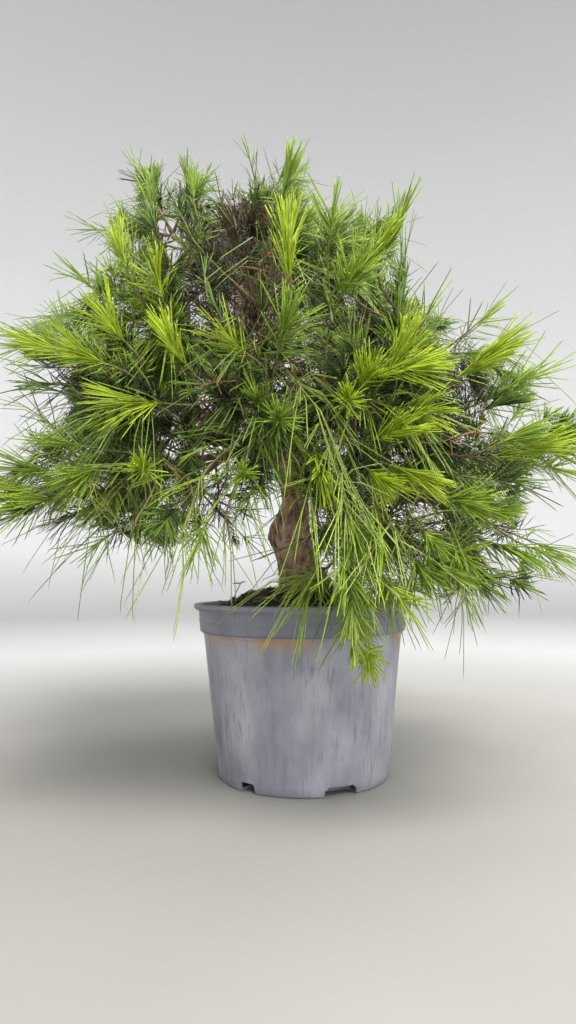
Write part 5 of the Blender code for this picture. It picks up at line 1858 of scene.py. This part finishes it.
def leaf_blade(foot, way, size):
    """A small rounded leaf with a little thickness and a folded middle."""
    side, over = across(way)
    rows, steps = [], np.linspace(0.0, 1.0, 6)
    for lift in (0.00012, -0.00012):
        for step in steps:
            wide = size * 0.34 * math.sin(math.pi * min(1.0, 0.06 + 0.9 * step)) ** 0.8
            middle = foot + way * size * step + np.array((0.0, 0.0, -size * 0.25 * step * step))
            for out in (-1.0, 0.0, 1.0):
                fold = abs(out) * wide * 0.35
                rows.append(middle + side * out * wide + over * (lift + fold))
    count = len(steps)
    faces = []
    for sheet in (0, 1):
        for k in range(count - 1):
            for n in (0, 1):
                a = sheet * 3 * count + 3 * k + n
                quad = (a, a + 1, a + 4, a + 3)
                quad = quad if sheet == 0 else quad[::-1]
                faces += [(quad[0], quad[1], quad[2]), (quad[0], quad[2], quad[3])]
    rim = [3 * k for k in range(count)] + [3 * count - 2, 3 * count - 1]
    rim += [3 * k + 2 for k in range(count - 2, -1, -1)] + [1]
    low = 3 * count
    for a, b in zip(rim, rim[1:] + rim[:1]):
        faces += [(a, b, b + low), (a, b + low, a + low)]
    return np.array(rows), np.array(faces)


class Shader:
    """Short ways of adding nodes to one material."""

    def __init__(self, name, roughness):
        self.material = bpy.data.materials.new(name)
        self.material.use_nodes = True
        self.nodes = self.material.node_tree.nodes
        self.links = self.material.node_tree.links
        self.principled = self.nodes["Principled BSDF"]
        self.principled.inputs["Roughness"].default_value = roughness
        self.place = self.nodes.new("ShaderNodeTexCoord").outputs["Object"]

    def node(self, kind, **inputs):
        """A node whose named inputs are linked where they get a socket, and set where they get a value."""
        made = self.nodes.new("ShaderNode" + kind)
        for name, value in inputs.items():
            self.give(made.inputs[name.replace("_", " ")], value)
        return made

    def give(self, socket, value):
        if isinstance(value, bpy.types.NodeSocket):
            self.links.new(value, socket)
        else:
            socket.default_value = value

    def noise(self, scale, detail=4.0, stretch=(1.0, 1.0, 1.0)):
        mapping = self.node("Mapping", Scale=stretch, Vector=self.place)
        made = self.node("TexNoise", Scale=scale, Detail=detail, Vector=mapping.outputs["Vector"])
        return made.outputs["Fac"]

    def ramp(self, factor, *stops):
        """A colour ramp from (place, colour) pairs."""
        made = self.node("ValToRGB", Fac=factor)
        ends = made.color_ramp.elements
        for end, (place, colour) in ((ends[0], stops[0]), (ends[1], stops[-1])):
            end.position = place
            end.color = (*colour, 1.0)
        for place, colour in stops[1:-1]:
            ends.new(place).color = (*colour, 1.0)
        return made.outputs["Color"]

    def greys(self, factor, *stops):
        """A ramp of greys from (place, level) pairs."""
        return self.ramp(factor, *[(place, (level, level, level)) for place, level in stops])

    def mask(self, factor, low, high):
        """Black below one value and white above another."""
        return self.greys(factor, (low, 0.0), (high, 1.0))

    def mix(self, factor, first, second, blend="MIX"):
        made = self.nodes.new("ShaderNodeMix")
        made.data_type = "RGBA"
        made.blend_type = blend
        for socket, value in ((made.inputs[0], factor), (made.inputs[6], first), (made.inputs[7], second)):
            self.give(socket, (*value, 1.0) if isinstance(value, tuple) else value)
        return made.outputs[2]

    def axis(self, name):
        return self.node("SeparateXYZ", Vector=self.place).outputs[name]

    def radius(self):
        """Distance from the upright axis."""
        level = self.nodes.new("ShaderNodeVectorMath")
        level.operation = "MULTIPLY"
        self.give(level.inputs[0], self.place)
        self.give(level.inputs[1], (1.0, 1.0, 0.0))
        made = self.nodes.new("ShaderNodeVectorMath")
        made.operation = "LENGTH"
        self.give(made.inputs[0], level.outputs["Vector"])
        return made.outputs["Value"]

    def span(self, value, low, high):
        """A value brought from low..high to 0..1."""
        return self.node("MapRange", From_Min=low, From_Max=high, Value=value).outputs["Result"]

    def colour(self, socket):
        self.links.new(socket, self.principled.inputs["Base Color"])

    def bump(self, height, distance, strength=1.0):
        made = self.node("Bump", Strength=strength, Distance=distance, Height=height)
        self.links.new(made.outputs["Normal"], self.principled.inputs["Normal"])


def scaled(colour, factor):
    return tuple(min(1.0, channel * factor) for channel in colour)


def needle_material(name, colour, roughness):
    shader = Shader(name, roughness)
    shader.principled.inputs["Specular IOR Level"].default_value = NEEDLE_GLOSS
    shade = shader.noise(90.0, 2.0)
    shader.colour(shader.ramp(shade, (0.3, scaled(colour, 0.80)), (0.7, scaled(colour, 1.22))))
    return shader.material


def bark_material(name, dark, middle, light, scale):
    """Bark in long flakes, with dark cracks and paler patches."""
    shader = Shader(name, 0.85)
    flakes = shader.noise(scale, 6.0, (1.0, 1.0, 0.35))
    patches = shader.noise(scale * 0.35, 3.0, (1.0, 1.0, 0.6))
    tone = shader.ramp(flakes, (0.32, dark), (0.50, middle), (0.74, light))
    pale = shader.mix(0.6, middle, light)
    shader.colour(shader.mix(shader.mask(patches, 0.50, 0.66), tone, pale))
    shader.bump(flakes, 0.0010, 0.7)
    return shader.material


def pot_material():
    """Grey weathered plastic: clouded bloom, streaks, scratches and rusty stains under the collar."""
    shader = Shader("pot_plastic", 0.46)
    streaks = shader.noise(1.0, 5.0, (150.0, 150.0, 9.0))
    tone = shader.ramp(streaks, (0.30, POT_DARK), (0.70, POT_LIGHT))
    cloud = shader.noise(1.0, 4.0, (30.0, 30.0, 22.0))
    tone = shader.mix(shader.mask(cloud, 0.42, 0.72), tone, POT_BLOOM)
    scratches = shader.mask(shader.noise(1.0, 2.0, (480.0, 480.0, 16.0)), 0.54, 0.78)
    scratched = shader.mask(shader.noise(1.0, 2.0, (26.0, 26.0, 20.0)), 0.44, 0.62)
    tone = shader.mix(shader.mix(1.0, scratches, scratched, "MULTIPLY"), tone, POT_SCRATCH)
    height = shader.axis("Z")
    collar = shader.mask(shader.span(height, 0.1070, 0.1090), 0.4, 0.6)
    tone = shader.mix(collar, tone, shader.mix(0.60, tone, POT_COLLAR))
    rim = shader.mask(shader.span(height, 0.1240, 0.1262), 0.2, 0.8)
    tone = shader.mix(rim, tone, shader.mix(0.15, tone, POT_RIM))
    stain = shader.mask(shader.noise(1.0, 5.0, (120.0, 120.0, 330.0)), 0.30, 0.54)
    under = shader.greys(shader.span(height, *STAIN_HEIGHTS), *STAIN_BY_HEIGHT)
    where = shader.greys(shader.span(shader.axis("X"), *STAIN_SPAN), *STAIN_BY_SPAN)
    stain = shader.mix(1.0, shader.mix(1.0, stain, under, "MULTIPLY"), where, "MULTIPLY")
    shader.colour(shader.mix(stain, tone, POT_STAIN))
    shader.bump(streaks, 0.0003, 0.3)
    return shader.material


def soil_material(name, dark, light, scale):
    shader = Shader(name, 0.95)
    crumbs = shader.noise(scale, 8.0)
    shader.colour(shader.ramp(crumbs, (0.36, dark), (0.70, light)))
    shader.bump(crumbs, 0.0012, 0.8)
    return shader.material


def make_materials():
    made = {"needles_" + tint: needle_material("needles_" + tint, colour, 0.42)
            for tint, colour in TINTS.items()}
    for name, look in BARKS.items():
        made[name] = bark_material(name, *look)
    made["pot"] = pot_material()
    for name, look in GROUNDS.items():
        made[name] = soil_material(name, *look)
    made["litter"] = needle_material("litter", (0.300, 0.210, 0.130), 0.8)
    made["weed"] = needle_material("weed", (0.070, 0.130, 0.040), 0.5)
    return made


def stage_material():
    """Pale floor, darker near the pot and lighter outwards as painted light, that turns into a lighter wall
    with a faint painted glow.
    """
    shader = Shader("stage_floor", 0.85)
    floor = shader.ramp(shader.noise(3.0, 2.0), (0.3, (0.26, 0.25, 0.23)), (0.7, (0.30, 0.29, 0.27)))
    # Painted light: the floor's colour lightens away from the pot, where the lamps' light falls off
    far = shader.mask(shader.span(shader.radius(), *STAGE_NEAR), 0.0, 1.0)
    floor = shader.mix(far, floor, STAGE_FAR_PAINTED_LIGHT)
    wall = shader.mask(shader.span(shader.axis("Z"), 0.0, STAGE_WALL_START), 0.0, 1.0)
    shader.colour(shader.mix(wall, floor, STAGE_WALL))
    # Painted glow: the stage gives off light of its own, though it is no lamp
    glow = shader.greys(shader.span(shader.axis("Z"), 0.0, STAGE_PAINTED_GLOW_HEIGHT), *STAGE_PAINTED_GLOW)
    shader.links.new(glow, shader.principled.inputs["Emission Color"])
    shader.principled.inputs["Emission Strength"].default_value = 1.0
    return shader.material


def make_stage():
    """A pale floor that sweeps up all round into a low wall."""
    profile = [(0.0, 0.0), (0.5, 0.0), (STAGE_RADIUS, 0.0)]
    for k in range(1, STAGE_SWEEP_STEPS + 1):
        angle = 0.5 * math.pi * k / STAGE_SWEEP_STEPS
        out, up = STAGE_SWEEP * math.sin(angle), STAGE_SWEEP * (1 - math.cos(angle))
        profile.append((STAGE_RADIUS + out, up))
    profile.append((STAGE_RADIUS + STAGE_SWEEP, STAGE_TOP))
    stage = turned("stage_sweep", profile, 96)
    stage.data.flip_normals()
    stage.data.materials.append(stage_material())
    stage.data.shade_smooth()


def add_light(name, place, target, size, power, colour=(1.0, 1.0, 1.0)):
    data = bpy.data.lights.new(name, "AREA")
    data.shape = "SQUARE"
    data.size = size
    data.energy = power
    data.color = colour
    light = bpy.data.objects.new(name, data)
    light.location = place
    way = Vector(target) - Vector(place)
    light.rotation_euler = way.to_track_quat("-Z", "Y").to_euler()
    bpy.context.scene.collection.objects.link(light)


def make_lights():
    """Plain soft studio light: a large one above in front, a weaker fill and a pale surround."""
    for light in LIGHTS:
        add_light(*light)
    world = bpy.data.worlds.new("pale_surround")
    world.use_nodes = True
    world.node_tree.nodes["Background"].inputs["Color"].default_value = (*SURROUND, 1.0)
    world.node_tree.nodes["Background"].inputs["Strength"].default_value = SURROUND_STRENGTH
    bpy.context.scene.world = world
    bpy.context.scene.view_settings.view_transform = "Standard"


def make_camera():
    data = bpy.data.cameras.new("camera")
    data.lens = CAMERA_LENS
    data.clip_start = 0.01
    data.clip_end = 50.0
    camera = bpy.data.objects.new("camera", data)
    camera.matrix_world = Matrix.Translation(CAMERA_PLACE) @ camera_turn().to_4x4()
    bpy.context.scene.collection.objects.link(camera)
    bpy.context.scene.camera = camera


def main():
    make_camera()
    make_lights()
    make_stage()
    materials = make_materials()
    trunk, boughs, masses = plan_tree()
    make_trunk(materials["trunk_bark"])
    for name, line in boughs.items():
        make_bough(name, line, trunk, materials["bough_bark"])
    make_pot(materials["pot"])
    make_soil(materials["soil"])
    for name, material, count, sizes, flat, seed in LUMPS:
        scatter_lumps(name, count, sizes, flat, materials[material], seed)
    make_litter(materials["litter"])
    make_seedlings(materials["weed"])
    make_foliage(trunk, boughs, masses, materials)


main()
